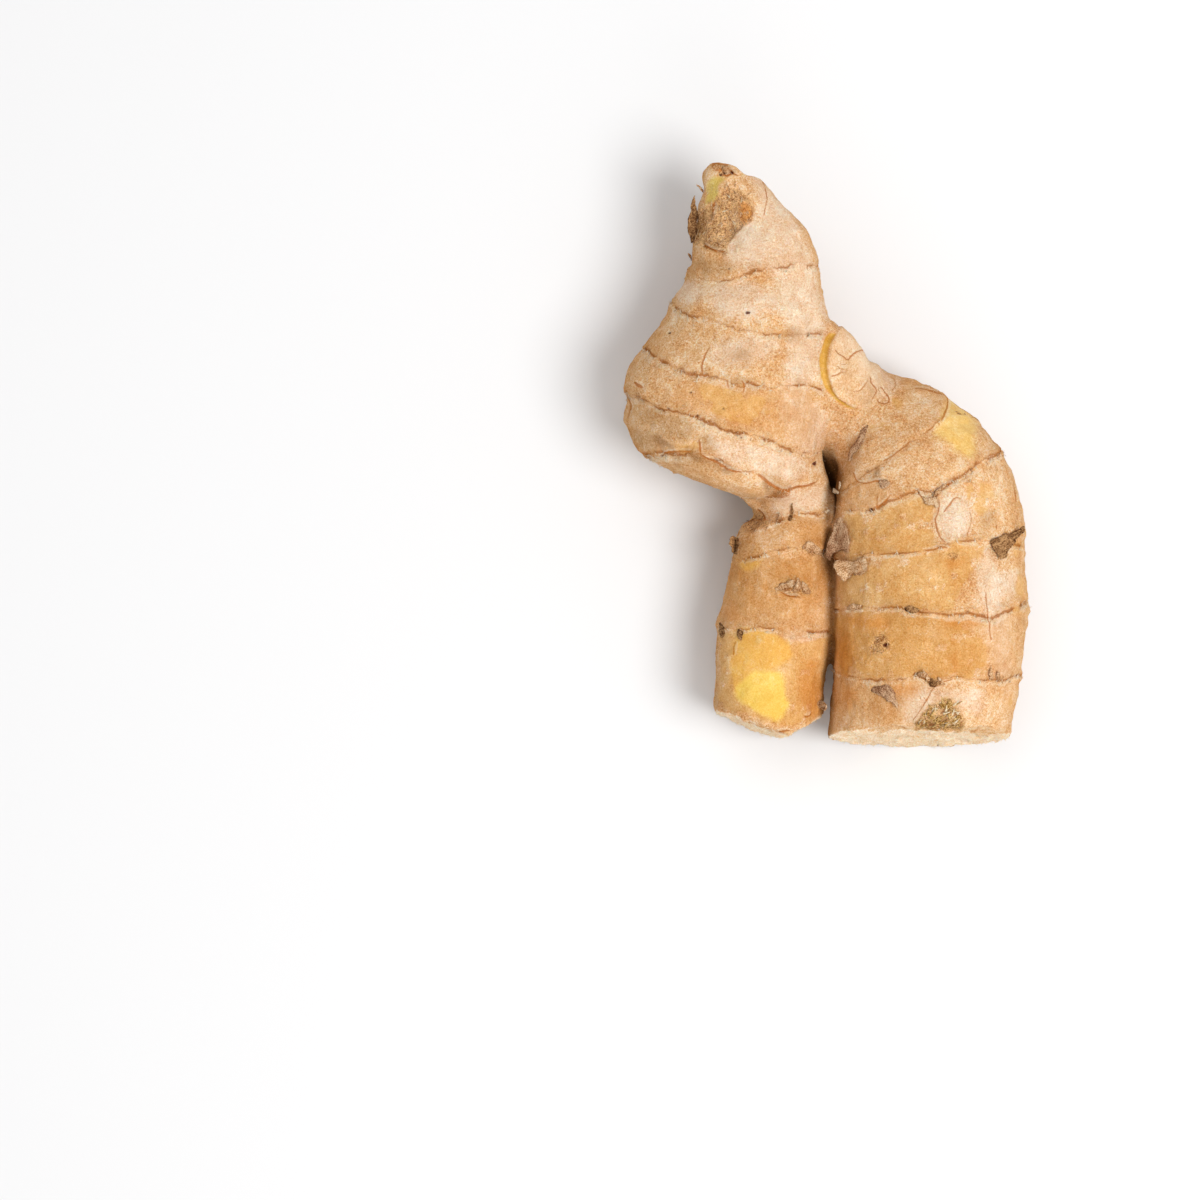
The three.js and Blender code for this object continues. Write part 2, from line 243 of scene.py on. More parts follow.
# An outline is three or more places. An oval is (x, y, half length, half width, degrees it is turned).
MARKS = {
    # Paper that has dried paler than the rest. The long strips down the right sides of the head and the
    # thick finger, the oval on the head's right side and the patch at the torn tip's lower right are painted
    # highlight.
    "pale": [
        [(735, 214), (749, 214), (764, 226), (772, 244), (765, 262), (748, 268), (731, 264), (725, 250),
         (729, 232)],
        [(712, 440), (740, 441), (775, 450), (808, 465), (790, 482), (760, 470), (735, 466), (716, 456)],
        [(940, 500), (948, 496), (966, 497), (969, 512), (968, 530), (958, 537), (946, 541), (936, 520)],
        (808, 428, 18, 26, 0), (800, 637, 17, 6, 5), (938, 631, 7, 10, 0), (1001, 586, 16, 14, 0),
        (745, 350, 34, 14, 10), (690, 292, 16, 10, 0),
        [(775, 497), (800, 489), (822, 485), (826, 504), (800, 511), (778, 513)],
        (742, 300, 34, 18, -5), (845, 340, 10, 12, 30),
        [(752, 165), (772, 188), (790, 212), (806, 250), (818, 285), (826, 320), (816, 372), (806, 398),
         (826, 430), (800, 440), (778, 412), (786, 380), (790, 330), (778, 288), (757, 252), (764, 226),
         (757, 200)],
        [(862, 335), (884, 368), (900, 382), (880, 398), (858, 372)],
        [(984, 548), (994, 558), (1004, 600), (1010, 668), (996, 672), (988, 640), (976, 590)],
        [(900, 704), (915, 690), (980, 692), (978, 716), (962, 708), (920, 720), (906, 722)],
    ],
    # Paper bleached almost white, partly painted highlight: the patch at the torn tip's lower right and the
    # two ovals on the head's right half.
    "bleached_and_painted_highlight": [
        [(735, 216), (748, 213), (763, 226), (770, 243), (763, 260), (748, 265), (732, 260), (727, 246),
         (731, 230)],
        [(944, 502), (956, 498), (966, 508), (968, 528), (958, 537), (947, 537), (938, 522)],
        (994, 586, 9, 14, 0), (784, 300, 12, 20, 20), (795, 360, 10, 20, -10),
    ],
    # Old brown stains in the paper. The tall oval at (843, 474), right of the gap between the fingers, is
    # painted shade.
    "stain_and_shade": [
        (713, 268, 17, 8, 0), (706, 444, 7, 9, 20), (742, 386, 10, 4, -5), (650, 442, 14, 9, -35),
        (775, 484, 12, 6, -35), (853, 450, 5, 6, 0), (843, 474, 9, 16, 0), (792, 335, 8, 5, 0),
        (722, 701, 10, 5, -30), (988, 520, 5, 9, -20), (719, 163, 9, 2, 0), (668, 425, 26, 12, -20),
        (690, 462, 30, 5, -22), (742, 356, 6, 5, 0),
        [(869, 378), (876, 392), (873, 404), (868, 411), (861, 398), (864, 386)],
    ],
    # Paper worn thin, so that the tan under it shows through.
    "tanned": [
        [(834, 681), (860, 684), (895, 686), (916, 686), (912, 700), (905, 714), (896, 722), (862, 722),
         (835, 717)],
        [(727, 566), (748, 562), (770, 556), (800, 556), (822, 557), (831, 580), (834, 605), (834, 627),
         (812, 629), (795, 636), (765, 625), (723, 625), (724, 595)],
        [(760, 390), (812, 392), (806, 440), (770, 432), (735, 424), (700, 412), (672, 400), (690, 384)],
        (1000, 645, 14, 26, 0), (860, 495, 22, 14, -15), (815, 530, 10, 14, 0),
    ],
    # The papery skin has rubbed away and the smooth tan layer under it shows.
    "bare": [
        [(845, 516), (870, 512), (890, 504), (918, 496), (934, 503), (933, 520), (938, 538), (944, 547),
         (918, 553), (868, 555), (850, 559), (851, 538)],
        [(842, 566), (868, 559), (917, 556), (943, 550), (984, 544), (976, 565), (957, 598), (950, 611),
         (918, 612), (876, 607), (842, 608)],
        [(836, 616), (876, 611), (918, 616), (958, 616), (984, 621), (985, 650), (982, 676), (950, 677),
         (926, 681), (914, 675), (870, 678), (836, 671)],
        [(722, 632), (760, 629), (790, 642), (812, 640), (832, 634), (831, 690), (822, 712), (785, 727),
         (750, 716), (720, 704), (722, 668)],
        [(700, 384), (745, 394), (772, 399), (770, 413), (745, 424), (712, 411)],
        [(677, 442), (684, 437), (692, 438), (697, 446), (692, 452), (680, 452)],
        [(968, 486), (984, 482), (991, 487), (994, 497), (988, 505), (981, 515), (972, 509), (968, 500)],
        [(948, 545), (958, 540), (975, 541), (983, 544), (978, 553), (970, 558), (966, 566), (955, 566),
         (946, 560)],
        [(1014, 541), (1020, 541), (1022, 547), (1019, 557), (1014, 556), (1013, 548)],
        (897, 401, 6, 8, 0), (872, 427, 4, 3, 0), (886, 427, 5, 3, 0), (931, 440, 3, 2, 0),
        (1020, 588, 4, 12, 5), (1018, 611, 4, 5, 0), (1011, 704, 3, 6, 0),
    ],
    # The rubbed layer dried to a deeper tan.
    "ochre": [
        [(836, 616), (876, 611), (918, 616), (958, 616), (980, 624), (984, 650), (980, 676), (950, 677),
         (926, 681), (914, 675), (870, 678), (836, 671)],
        [(727, 570), (748, 566), (770, 560), (800, 560), (822, 562), (829, 580), (812, 606), (770, 612),
         (730, 606)],
        [(738, 541), (760, 532), (790, 521), (826, 517), (827, 545), (800, 545), (770, 549), (744, 555)],
    ],
    # The rubbed layer bruised to a deeper orange. The tall oval at the thick finger's left margin, at (845,
    # 655), is painted shade.
    "amber_and_shade": [
        (849, 697, 6, 12, 0), (905, 690, 12, 6, 0), (954, 663, 3, 8, 8), (868, 622, 22, 7, -3),
        (962, 621, 18, 5, 0), (812, 690, 12, 30, 5), (845, 655, 8, 22, 0), (730, 612, 8, 10, 0),
        (1003, 692, 2, 7, -15), (953, 563, 8, 4, 0),
    ],
    # Thinned almost to the flesh, which shines through.
    "thinned": [
        [(738, 634), (760, 629), (785, 640), (791, 656), (772, 668), (750, 676), (734, 690), (730, 660)],
        [(740, 560), (762, 557), (758, 566), (744, 572)],
    ],
    # Knocked right through to the wet yellow flesh.
    "flesh": [
        [(734, 692), (742, 679), (757, 671), (779, 671), (784, 683), (787, 695), (789, 708), (784, 718),
         (777, 723), (766, 717), (752, 709), (741, 702)],
    ],
    # The same, but dried over.
    "dull_flesh": [
        [(948, 402), (962, 406), (974, 418), (975, 434), (975, 449), (970, 457), (959, 453), (948, 443),
         (934, 433), (941, 421)],
    ],
    # Raw flesh gone greenish in the torn tip.
    "green_flesh": [
        [(707, 179), (714, 176), (724, 176), (722, 183), (718, 189), (717, 198), (711, 203), (704, 202),
         (703, 193), (704, 185)],
    ],
    # The wall of flesh beside the sliced face.
    "groove": [
        [(829, 333), (824, 340), (821, 350), (819, 360), (820, 372), (823, 383), (828, 392), (834, 399),
         (842, 405), (850, 409), (860, 411), (867, 412), *SLICE_RIM, (837, 333)],
    ],
    # The sliced face itself.
    "disc": [
        [(837, 333), (846, 322), (858, 330), (871, 346), (880, 368), (884, 388), (876, 404), (867, 411),
         *SLICE_RIM],
    ],
    # Woody tissue where a shoot, a bud or roots broke off.
    "scar": [
        [(697, 212), (711, 203), (716, 196), (724, 190), (735, 187), (748, 196), (754, 208), (752, 221),
         (742, 226), (736, 234), (729, 244), (727, 252), (712, 252), (701, 247), (693, 236)],
        [(953, 696), (955, 703), (959, 710), (963, 718), (963, 728), (955, 733), (945, 734), (934, 735),
         (925, 733), (918, 730), (914, 726), (918, 719), (921, 712), (927, 706), (933, 702), (941, 699)],
        [(746, 520), (753, 513), (760, 510), (767, 519), (768, 526), (757, 530), (747, 531)],
        [(801, 548), (808, 541), (815, 543), (820, 549), (822, 555), (812, 554), (805, 552)],
        [(882, 632), (889, 645), (875, 655), (869, 645)],
        (728, 171, 9, 5, 10), (793, 588, 18, 7, 0), (953, 555, 6, 6, 0),
    ],
    # Tissue gone rusty where it tore.
    "rust": [[(740, 206), (746, 203), (752, 211), (753, 219), (747, 223), (741, 222)]],
    # Tissue withered dark.
    "withered": [
        [(696, 216), (704, 212), (707, 220), (702, 232), (697, 236), (694, 224)],
        [(711, 202), (716, 202), (715, 211), (711, 212)],
        [(703, 242), (712, 243), (722, 247), (727, 250), (724, 254), (714, 251), (704, 247)],
        [(944, 699), (953, 704), (954, 713), (947, 720), (941, 712)],
        [(920, 723), (930, 722), (942, 730), (934, 735), (921, 731)],
        [(700, 454), (712, 459), (724, 465), (738, 469), (741, 473), (728, 474), (716, 468), (704, 461)],
        [(684, 446), (694, 447), (703, 455), (714, 463), (704, 465), (692, 461)],
        [(767, 481), (778, 484), (786, 490), (782, 497), (770, 496), (763, 489)],
        [(652, 434), (664, 438), (676, 446), (664, 449), (654, 443)],
        [(830, 553), (838, 551), (850, 556), (858, 560), (848, 562), (832, 562), (830, 572), (834, 581),
         (829, 580), (826, 566)],
        (792, 594, 12, 2, -3),
        [(868, 480), (873, 472), (877, 464), (880, 470), (882, 478), (881, 483), (874, 482)],
        (872, 511, 4, 2, 0), (931, 501, 7, 3, -25),
    ],
    # Where the two fingers part: painted shade on its right side.
    "shade": [
        [(826, 455), (833, 459), (840, 467), (844, 477), (843, 489), (841, 501), (838, 513), (835, 523),
         (833, 512), (832, 500), (829, 486), (826, 470)],
    ],
    # The bottom of the gap between them: painted near black as shade, and sunk by the relief too.
    "slot": [
        [(824, 449), (828, 456), (831, 464), (834, 473), (836, 483), (837, 493), (837, 504), (836, 514),
         (833, 523), (830, 533), (827, 543), (825, 553), (822, 557), (824, 546), (828, 534), (831, 523),
         (834, 513), (833, 502), (831, 490), (828, 476), (825, 463), (823, 454)],
    ],
    # Skin drawn down over the tops of the cuts.
    "end_paper": [
        [(706, 692), (717, 708), (735, 716), (755, 724), (772, 731), (786, 734), (800, 731), (815, 724),
         (826, 714), (826, 700), (780, 714), (740, 700)],
        [(822, 712), (1012, 712), (1014, 731), (1001, 734), (985, 735), (966, 737), (950, 739), (934, 739),
         (918, 736), (898, 733), (880, 731), (860, 729), (845, 728), (826, 726)],
    ],
}

# Splits in the paper: half width in millimetres, and the line.
CRACKS = [
    (0.13, [(711, 165), (715, 169), (719, 173)]),
    (0.13, [(717, 163), (719, 167), (721, 170)]),
    (0.12, [(724, 162), (725, 166)]),
    (0.28, [(712, 164), (716, 162), (722, 161), (728, 163)]),
    (0.18, [(718, 173), (722, 170), (727, 168), (732, 169), (735, 173), (739, 175)]),
    (0.2, [(722, 174), (727, 175), (732, 173)]),
    (0.24, [(704, 245), (714, 250), (726, 252)]),
    (0.25, [(713, 203), (713, 208), (712, 215)]),
    (0.13, [(763, 180), (767, 196), (764, 216)]),
    (0.16, [(710, 347), (703, 361), (702, 374)]),
    (0.14, [(742, 381), (744, 387), (743, 393)]),
    (0.12, [(727, 379), (728, 384), (729, 388)]),
    (0.3, [(635, 382), (638, 385), (642, 388)]),
    (0.14, [(623, 394), (628, 399), (631, 406), (629, 412), (627, 418)]),
    (0.2, [(699, 440), (700, 447), (700, 454)]),
    (0.26, [(700, 455), (706, 458), (718, 463), (730, 470), (740, 472)]),
    (0.13, [(661, 456), (668, 452), (680, 451), (692, 451)]),
    (0.3, [(759, 475), (770, 483), (784, 491), (797, 487), (815, 483)]),
    (0.16, [(834, 350), (838, 353), (843, 356), (848, 360), (851, 356), (857, 351), (863, 350), (870, 353)]),
    (0.12, [(837, 366), (842, 369), (848, 369)]),
    (0.12, [(831, 377), (840, 373), (848, 371)]),
    (0.11, [(850, 390), (857, 391), (863, 387), (868, 380)]),
    (0.16, [(869, 376), (872, 383), (876, 392), (872, 400)]),
    (0.18, [(880, 387), (884, 391), (889, 397), (888, 402)]),
    (0.18, [(876, 400), (882, 403), (888, 402)]),
    (0.12, [(895, 376), (896, 383), (893, 390)]),
    (0.15, [(914, 388), (925, 390), (935, 394), (943, 396)]),
    (0.2, [(946, 397), (947, 405), (945, 414), (941, 421)]),
    (0.13, [(934, 425), (929, 430), (924, 433)]),
    (0.16, [(938, 500), (939, 507), (937, 515), (935, 521), (937, 529), (941, 538), (946, 543)]),
    (0.15, [(944, 513), (948, 507), (952, 500), (956, 497), (961, 499)]),
    (0.12, [(969, 512), (970, 522), (968, 530), (967, 537)]),
    (0.2, [(931, 500), (937, 492), (943, 488), (948, 485), (955, 481)]),
    (0.14, [(853, 472), (856, 481), (866, 483), (876, 481), (884, 482), (889, 482)]),
    (0.12, [(882, 461), (893, 455), (903, 448), (910, 441)]),
    (0.14, [(917, 490), (920, 495), (926, 499), (934, 499)]),
    (0.12, [(877, 494), (878, 507), (887, 500), (890, 494)]),
    (0.13, [(952, 680), (935, 687), (924, 704), (912, 722)]),
    (0.18, [(923, 551), (932, 550), (940, 547), (947, 547)]),
    (0.14, [(1014, 484), (1016, 493), (1018, 502)]),
    (0.13, [(1017, 515), (1018, 521)]),
    (0.14, [(996, 524), (996, 530)]),
    (0.12, [(985, 592), (987, 612), (991, 640)]),
    (0.3, [(758, 509), (762, 513), (766, 519)]),
    (0.15, [(786, 588), (792, 586), (796, 582)]),
    (0.22, [(781, 593), (790, 596), (800, 597)]),
    (0.13, [(735, 642), (733, 655)]),
    (0.2, [(804, 716), (808, 716), (812, 712)]),
    (0.18, [(777, 733), (784, 732), (790, 731)]),
    (0.11, [(890, 726), (904, 728), (918, 732), (930, 736)]),
    (0.1, [(954, 735), (966, 732), (978, 731)]),
]

# How far the edge of a mark strays. Cuts and shade are crisper than the rest.
STRAY, CRISP_STRAY = 0.22, 0.05
CRISP_MARKS = ("groove", "disc", "slot", "shade")

# Marks out of sight: how large they are, how tall a random hill has to be to carry one, how fast the mark
# deepens with the hill, and the hills' seed.
HIDDEN_MARKS = {"bare": (11, 0.35, 5, 51), "scar": (4.5, 1.25, 4, 57), "stain_and_shade": (7, 0.8, 4, 59)}

# Dark specks and pits: a place in pixels and a half width in millimetres.
PITS = [
    (748, 313, 0.42), (669, 332, 0.2), (729, 269, 0.22), (690, 393, 0.28), (724, 409, 0.25), (740, 438, 0.3),
    (815, 464, 0.42), (884, 645, 0.5), (720, 174, 0.35), (733, 171, 0.42), (725, 172, 0.3), (807, 546, 0.35),
    (669, 409, 0.22), (697, 416, 0.28), (661, 456, 0.3), (871, 511, 0.4), (938, 745, 0.22), (981, 744, 0.22),
]

# Swellings and dips of the flesh: a place in pixels, then reach and height in millimetres.
SWELLS = [
    (893, 372, 3.5, -0.5), (941, 397, 4.0, 0.45), (739, 536, 3.0, 0.4), (952, 519, 3.6, 0.4),
    (698, 188, 2.6, -0.9), (746, 172, 2.6, -0.9), (722, 158, 2.0, -0.4),
]

SLICE_MIDDLE = (855, 374)
SLICE_HALF = (9.0, 11.0)  # half the sliced face's width and length, in millimetres

# Where strands grow: a place in pixels, and how far round it in millimetres.
ROOT_SCAR = [((939, 716), 6)]
TORN_TIP = [((722, 218), 9)]
BUDS = [((793, 588), 4), ((879, 645), 2), ((757, 521), 3)]


# ---- Shapes of change over the surface ----

REACH = 4.0  # how far round a mark its field is worked out
CRACK_REACH = 1.5  # the same for a crack
RING_REACH = 2.2  # the same for a leaf scar
OVAL_POINTS = 28


def ease(low, high, value):
    """0 below low, 1 above high, and smooth between."""
    t = np.clip((value - low) / (high - low), 0, 1)
    return t * t * (3 - 2 * t)


def hump(value, width):
    """1 where value is 0, falling away over width."""
    return np.exp(-((value / width) ** 2))


def unit(vectors):
    return vectors / np.maximum(np.linalg.norm(vectors, axis=-1, keepdims=True), 1e-9)


def hills(points, seed=0):
    """Smooth random hills, about -1 to 1 high and one unit apart.

    Each corner of a unit cell gets a height by scrambling its place and the seed with large odd numbers.
    """
    cell = np.floor(points).astype(np.int64)
    part = points - cell
    fade = part * part * part * (part * (part * 6 - 15) + 10)
    total = np.zeros(len(points))
    for corner in range(8):
        shift = np.array([corner & 1, corner >> 1 & 1, corner >> 2 & 1])
        x, y, z = ((cell + shift) & 0xFFFF).T
        key = (x * 73856093 ^ y * 19349663 ^ z * 83492791 ^ (seed * 40503 + 977)) & 0xFFFFFFFF
        key = (key ^ key >> 15) * 2246822519 & 0xFFFFFFFF
        key = (key ^ key >> 13) * 3266489917 & 0xFFFFFFFF
        weight = np.prod(np.where(shift == 1, fade, 1 - fade), axis=1)
        total += weight * ((key >> 8 & 0xFFFF) / 32767.5 - 1)
    return total * 1.6


def crags(points, seed=0, octaves=3):
    """Hills with finer hills on them."""
    return sum(hills(points * 2.0**i, seed + i) * 0.55**i for i in range(octaves))


def spline(knots, steps, closed=False):
    """A smooth curve through knots."""
    knots = np.asarray(knots, float)
    if closed:
        knots = np.vstack([knots[-1:], knots, knots[:2]])
    else:
        knots = np.vstack([2 * knots[0] - knots[1], knots, 2 * knots[-1] - knots[-2]])
    t = np.linspace(0, 1, steps, endpoint=False)[:, None]
    rows = [
        b + (c - a) / 2 * t + (a - 2.5 * b + 2 * c - d / 2) * t**2 + (1.5 * (b - c) + (d - a) / 2) * t**3
        for a, b, c, d in zip(knots[:-3], knots[1:-2], knots[2:-1], knots[3:])
    ]
    return np.vstack(rows if closed else rows + [knots[-2:-1]])


def outline_of(mark):
    """A mark's outline at the sight level."""
    if isinstance(mark, tuple):
        x, y, long, wide, turned = mark
        a = np.linspace(0, 2 * np.pi, OVAL_POINTS, endpoint=False)
        turn = np.radians(turned)
        u, v = long * np.cos(a), wide * np.sin(a)
        across = x + u * np.cos(turn) + v * np.sin(turn)
        down = y - u * np.sin(turn) + v * np.cos(turn)
        return on_level(np.stack([across, down], 1))
    return spline(on_level(mark), 5, closed=True)


def distance_to_line(points, line, closed=False):
    """How far points are from a line of straight pieces."""
    least = np.full(len(points), np.inf)
    ends = np.roll(line, -1, axis=0) if closed else line[1:]
    for a, b in zip(line, ends):
        ab = b - a
        t = np.clip(((points - a) @ ab) / (ab @ ab), 0, 1)
        least = np.minimum(least, np.linalg.norm(points - a - t[:, None] * ab, axis=1))
    return least


def beside_lines(points, lines):
    """How far each point is to the left of the nearest line, and that line's half width there.

    Past a line's end the half width turns negative, so the line stops.
    """
    beside, half = np.full(len(points), REACH), np.full(len(points), -REACH)
    least = np.full(len(points), CRACK_REACH)
    for width, line in lines:
        line = spline(on_level(line), 4)
        last = len(line) - 2
        for i, (a, b) in enumerate(zip(line, line[1:])):
            ab = b - a
            long = np.linalg.norm(ab)
            near = np.flatnonzero(np.linalg.norm(points - (a + b) / 2, axis=1) < long / 2 + CRACK_REACH)
            away = points[near] - a
            along = away @ ab / long
            held = np.clip(along, 0, long)
            gap = np.linalg.norm(away - held[:, None] * ab / long, axis=1)
            past_end = ((along < 0) & (i == 0)) | ((along > long) & (i == last))
            over = np.where(past_end, np.abs(along - held), 0)
            side = np.sign(ab[0] * away[:, 1] - ab[1] * away[:, 0])
            closer = gap < least[near]
            spot = near[closer]
            least[spot], beside[spot] = gap[closer], (side * gap)[closer]
            # A line thins towards both its ends.
            thinned = 0.3 * width * np.abs(2 * (i + 0.5) / (last + 1) - 1)
            half[spot] = (width - over - thinned)[closer]
    return beside, half


def depth_inside(points, outline, reach):
    """How far inside a closed outline points are. Outside it is negative, and stops at -reach."""
    depth = np.full(len(points), -reach)
    near = np.all((points > outline.min(0) - reach) & (points < outline.max(0) + reach), axis=1)
    some = points[near]
    inside = np.zeros(len(some), bool)
    for (x1, y1), (x2, y2) in zip(outline, np.roll(outline, -1, axis=0)):
        crosses = (y1 > some[:, 1]) != (y2 > some[:, 1])
        if y1 != y2:
            inside ^= crosses & (some[:, 0] < (x2 - x1) * (some[:, 1] - y1) / (y2 - y1) + x1)
    away = distance_to_line(some, outline, closed=True)
    depth[near] = np.maximum(np.where(inside, away, -away), -reach)
    return depth


# ---- The skin's shape ----

VOXEL = 0.52  # spacing of the skin's points
FINGER_GAP = 0.4  # how far the thin finger's end is drawn aside
SMOOTHING = 19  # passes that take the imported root's facets away
MARK_DEPTH = 6.5  # how far down a knife face a mark may run
BLEND_PASSES = 160  # passes that melt the sliced face into the shoulder
BLEND_LEVEL = 12  # the skin under it, lower than this, is left alone
CREVICE = 3.0  # two fingers nearer than this shade each other
ON_END = 0.3  # skin that belongs to a knife face more than this is cut skin
BATCH = 20000  # points placed at a time
EDGE_ON = 0.03  # skin that faces the camera less than this is out of its sight


def read(items, key, width, kind=float):
    """A row of numbers for each of a mesh's points, edges or faces."""
    flat = np.empty(len(items) * width, kind)
    items.foreach_get(key, flat)
    return flat.reshape(-1, width)


def points_of(mesh):
    return read(mesh.vertices, "co", 3) / MM


def set_points(mesh, points):
    mesh.vertices.foreach_set("co", (points * MM).ravel())
    mesh.update()


def note(mesh, name, values):
    """Keeps a number or an arrow on each point, for a material or a modifier to read."""
    kind, key = ("FLOAT", "value") if values.ndim == 1 else ("FLOAT_VECTOR", "vector")
    kept = mesh.attributes.new(name, kind, "POINT")
    kept.data.foreach_set(key, values.astype(np.float32).ravel())


def shade_smooth(mesh):
    mesh.polygons.foreach_set("use_smooth", np.ones(len(mesh.polygons), bool))


def as_modified(piece):
    """A plain mesh of a piece as its modifiers leave it."""
    seen = piece.evaluated_get(bpy.context.evaluated_depsgraph_get())
    return bpy.data.meshes.new_from_object(seen)


def fine_copy(packed):
    """An even, closed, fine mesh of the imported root."""
    mesh = packed.data.copy()
    shape = bmesh.new()
    shape.from_mesh(mesh)
    bmesh.ops.remove_doubles(shape, verts=shape.verts, dist=1e-6)
    shape.to_mesh(mesh)
    shape.free()
    # Low down the gap between the fingers is narrower than a voxel, so the thin finger is drawn aside.
    spots = points_of(mesh)
    thin_side = ease(-39, -46, spots[:, 1]) * ease(-8, -2, spots[:, 0]) * ease(1.0, 0.8, spots[:, 0])
    spots[:, 0] -= FINGER_GAP * thin_side
    set_points(mesh, spots)
    rough = placed("rough", mesh)
    even = rough.modifiers.new("even", "REMESH")
    even.mode, even.voxel_size = "VOXEL", VOXEL * MM
    fine = as_modified(rough)
    bpy.data.objects.remove(rough)
    return placed("rhizome_skin", fine)


def mean_of_neighbours(values, edges):
    """For each point, the mean of values over the points it shares an edge with."""
    a, b = edges
    degree = np.bincount(a, minlength=len(values)) + np.bincount(b, minlength=len(values))
    columns = values.reshape(len(values), -1).T
    sums = [np.bincount(a, c[b], len(values)) + np.bincount(b, c[a], len(values)) for c in columns]
    return (np.stack(sums, 1) / degree[:, None]).reshape(values.shape)


def smoothed(points, edges, hold):
    """Points moved to even out the surface without shrinking it. hold is 1 where they stay."""
    for _ in range(SMOOTHING):
        for share in (0.6, -0.61):
            points = points + (share * (1 - hold))[:, None] * (mean_of_neighbours(points, edges) - points)
    return points


def relaxed(points, edges, share, passes):
    """Points drawn towards their neighbours, where share is above 0."""
    a, b = edges
    some = (share[a] > 0) | (share[b] > 0)
    near = np.unique(edges[:, some])
    place = np.full(len(points), -1)
    place[near] = np.arange(len(near))
    local = place[edges[:, some]]
    patch = points[near]
    for _ in range(passes):
        patch = patch + 0.5 * share[near][:, None] * (mean_of_neighbours(patch, local) - patch)
    points[near] = patch
    return points


def hollowness(points, edges, normals):
    """How deep in a crease each point is: 0 on open skin, 1 at the bottom of a crease."""
    bend = ((mean_of_neighbours(points, edges) - points) * normals).sum(1)
    for _ in range(8):
        bend = mean_of_neighbours(bend, edges)
    return ease(0.006, 0.035, bend)


def seen_from_eye(points):
    """Where the camera sees points, on the sight level."""
    return EYE[:2] + (points[:, :2] - EYE[:2]) * ((EYE[2] - SIGHT_LEVEL) / (EYE[2] - points[:, 2]))[:, None]


def knife_depth(points, face):
    """How far points stand off a knife face, and how far they are from its middle."""
    at, facing, reach = KNIFE_FACES[face]
    facing = unit(np.array(facing))
    off = (points - at) @ facing
    across = np.linalg.norm(points - at - off[:, None] * facing, axis=1)
    return off, across


def place_on(lobe, points):
    """Where points are on a lobe: along it, round it, off its skin, and how far out from its core."""
    knots = [[x, y, r * lobe["flatness"] + lift, r] for x, y, r, lift in lobe["stations"]]
    rows = spline(knots, 40)
    centre, girth = rows[:, :3], rows[:, 3]
    along = np.concatenate([[0], np.cumsum(np.linalg.norm(np.diff(centre, axis=0), axis=1))])
    ahead = np.gradient(centre, along, axis=0)
    coarse = slice(None, None, 12)
    at = np.empty(len(points))
    # The nearest of every twelfth row comes first, in batches that keep the table of distances small.
    for i in range(0, len(points), BATCH):
        part = points[i : i + BATCH]
        at[i : i + BATCH] = along[coarse][((part[:, None] - centre[coarse][None]) ** 2).sum(2).argmin(1)]
    for _ in range(6):
        c = np.stack([np.interp(at, along, centre[:, k]) for k in range(3)], 1)
        t = unit(np.stack([np.interp(at, along, ahead[:, k]) for k in range(3)], 1))
        past = ((points - c) * t).sum(1)
        at = np.clip(at + 0.8 * past, 0, along[-1])
    side = unit(np.cross([0, 0, 1], t))
    top = np.cross(t, side)
    left, up = ((points - c) * side).sum(1), ((points - c) * top).sum(1) / lobe["flatness"]
    radius = np.interp(at, along, girth)
    off = np.hypot(left, up) - radius
    off = np.where(np.abs(past) > 0.3, np.hypot(np.maximum(off, 0), past), off)
    return {
        "along": at,
        "angle": np.degrees(np.arctan2(up, left)) % 360,
        "radius": radius,
        "off": off,
        "spread": np.hypot(left, up) / radius,
        "ahead": t,
    }


def ring_gaps(points, seen, facing, owner, spots):
    """How far past the nearest leaf scar each point is, and how strongly that scar shows."""
    gap, show = np.full(len(points), 9.0), np.zeros(len(points))
    for i, (name, spot) in enumerate(zip(LOBES, spots)):
        mine = owner == i
        visible = np.flatnonzero(mine & facing)
        for k, (strength, line) in enumerate(RING_LINES.get(name, [])):
            line = spline(on_level(line), 8)
            nearest = [visible[((seen[visible] - p) ** 2).sum(1).argmin()] for p in line]
            angles, alongs = spot["angle"][nearest], spot["along"][nearest]
            order = np.argsort(angles)
            ring = np.interp(spot["angle"][mine], angles[order], alongs[order], period=360)
            stray = 0.16 * crags(points[mine] / 1.1, 31 + k) + 0.5 * hills(points[mine] / 7, 37 + k)
            past = spot["along"][mine] - ring + np.where(facing[mine], 0.45, 1.0) * stray
            closer = np.abs(past) < np.abs(gap[mine])
            gap[mine] = np.where(closer, past, gap[mine])
            show[mine] = np.where(closer, strength, show[mine])
    return gap, show


skin = fine_copy(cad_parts["rhizome"])
points = points_of(skin.data)
edges = read(skin.data.edges, "vertices", 2, np.int64).T
# The rims of the knife faces stay sharp.
hold = np.zeros(len(points))
for face, (_, _, reach) in KNIFE_FACES.items():
    off, across = knife_depth(points, face)
    hold = np.maximum(hold, 0.7 * hump(off, 0.6) * ease(reach + 1, reach - 1, across))
points = smoothed(points, edges, hold)

# The stub is sliced so low that its face runs into the shoulder.
away = (seen_from_eye(points) - on_level(SLICE_MIDDLE)) / SLICE_HALF
shoulder = ease(1.25, 0.8, np.linalg.norm(away, axis=1)) * (points[:, 2] > BLEND_LEVEL)
points = relaxed(points, edges, shoulder, BLEND_PASSES)
points[:, 2] = np.maximum(points[:, 2], 0)
set_points(skin.data, points)
normals = read(skin.data.vertex_normals, "vector", 3)

towards = (normals * unit(EYE - points)).sum(1)
facing = towards > EDGE_ON
seen = seen_from_eye(points)
ragged = np.stack([crags(points / 1.6, seed) for seed in (3, 7)], 1)

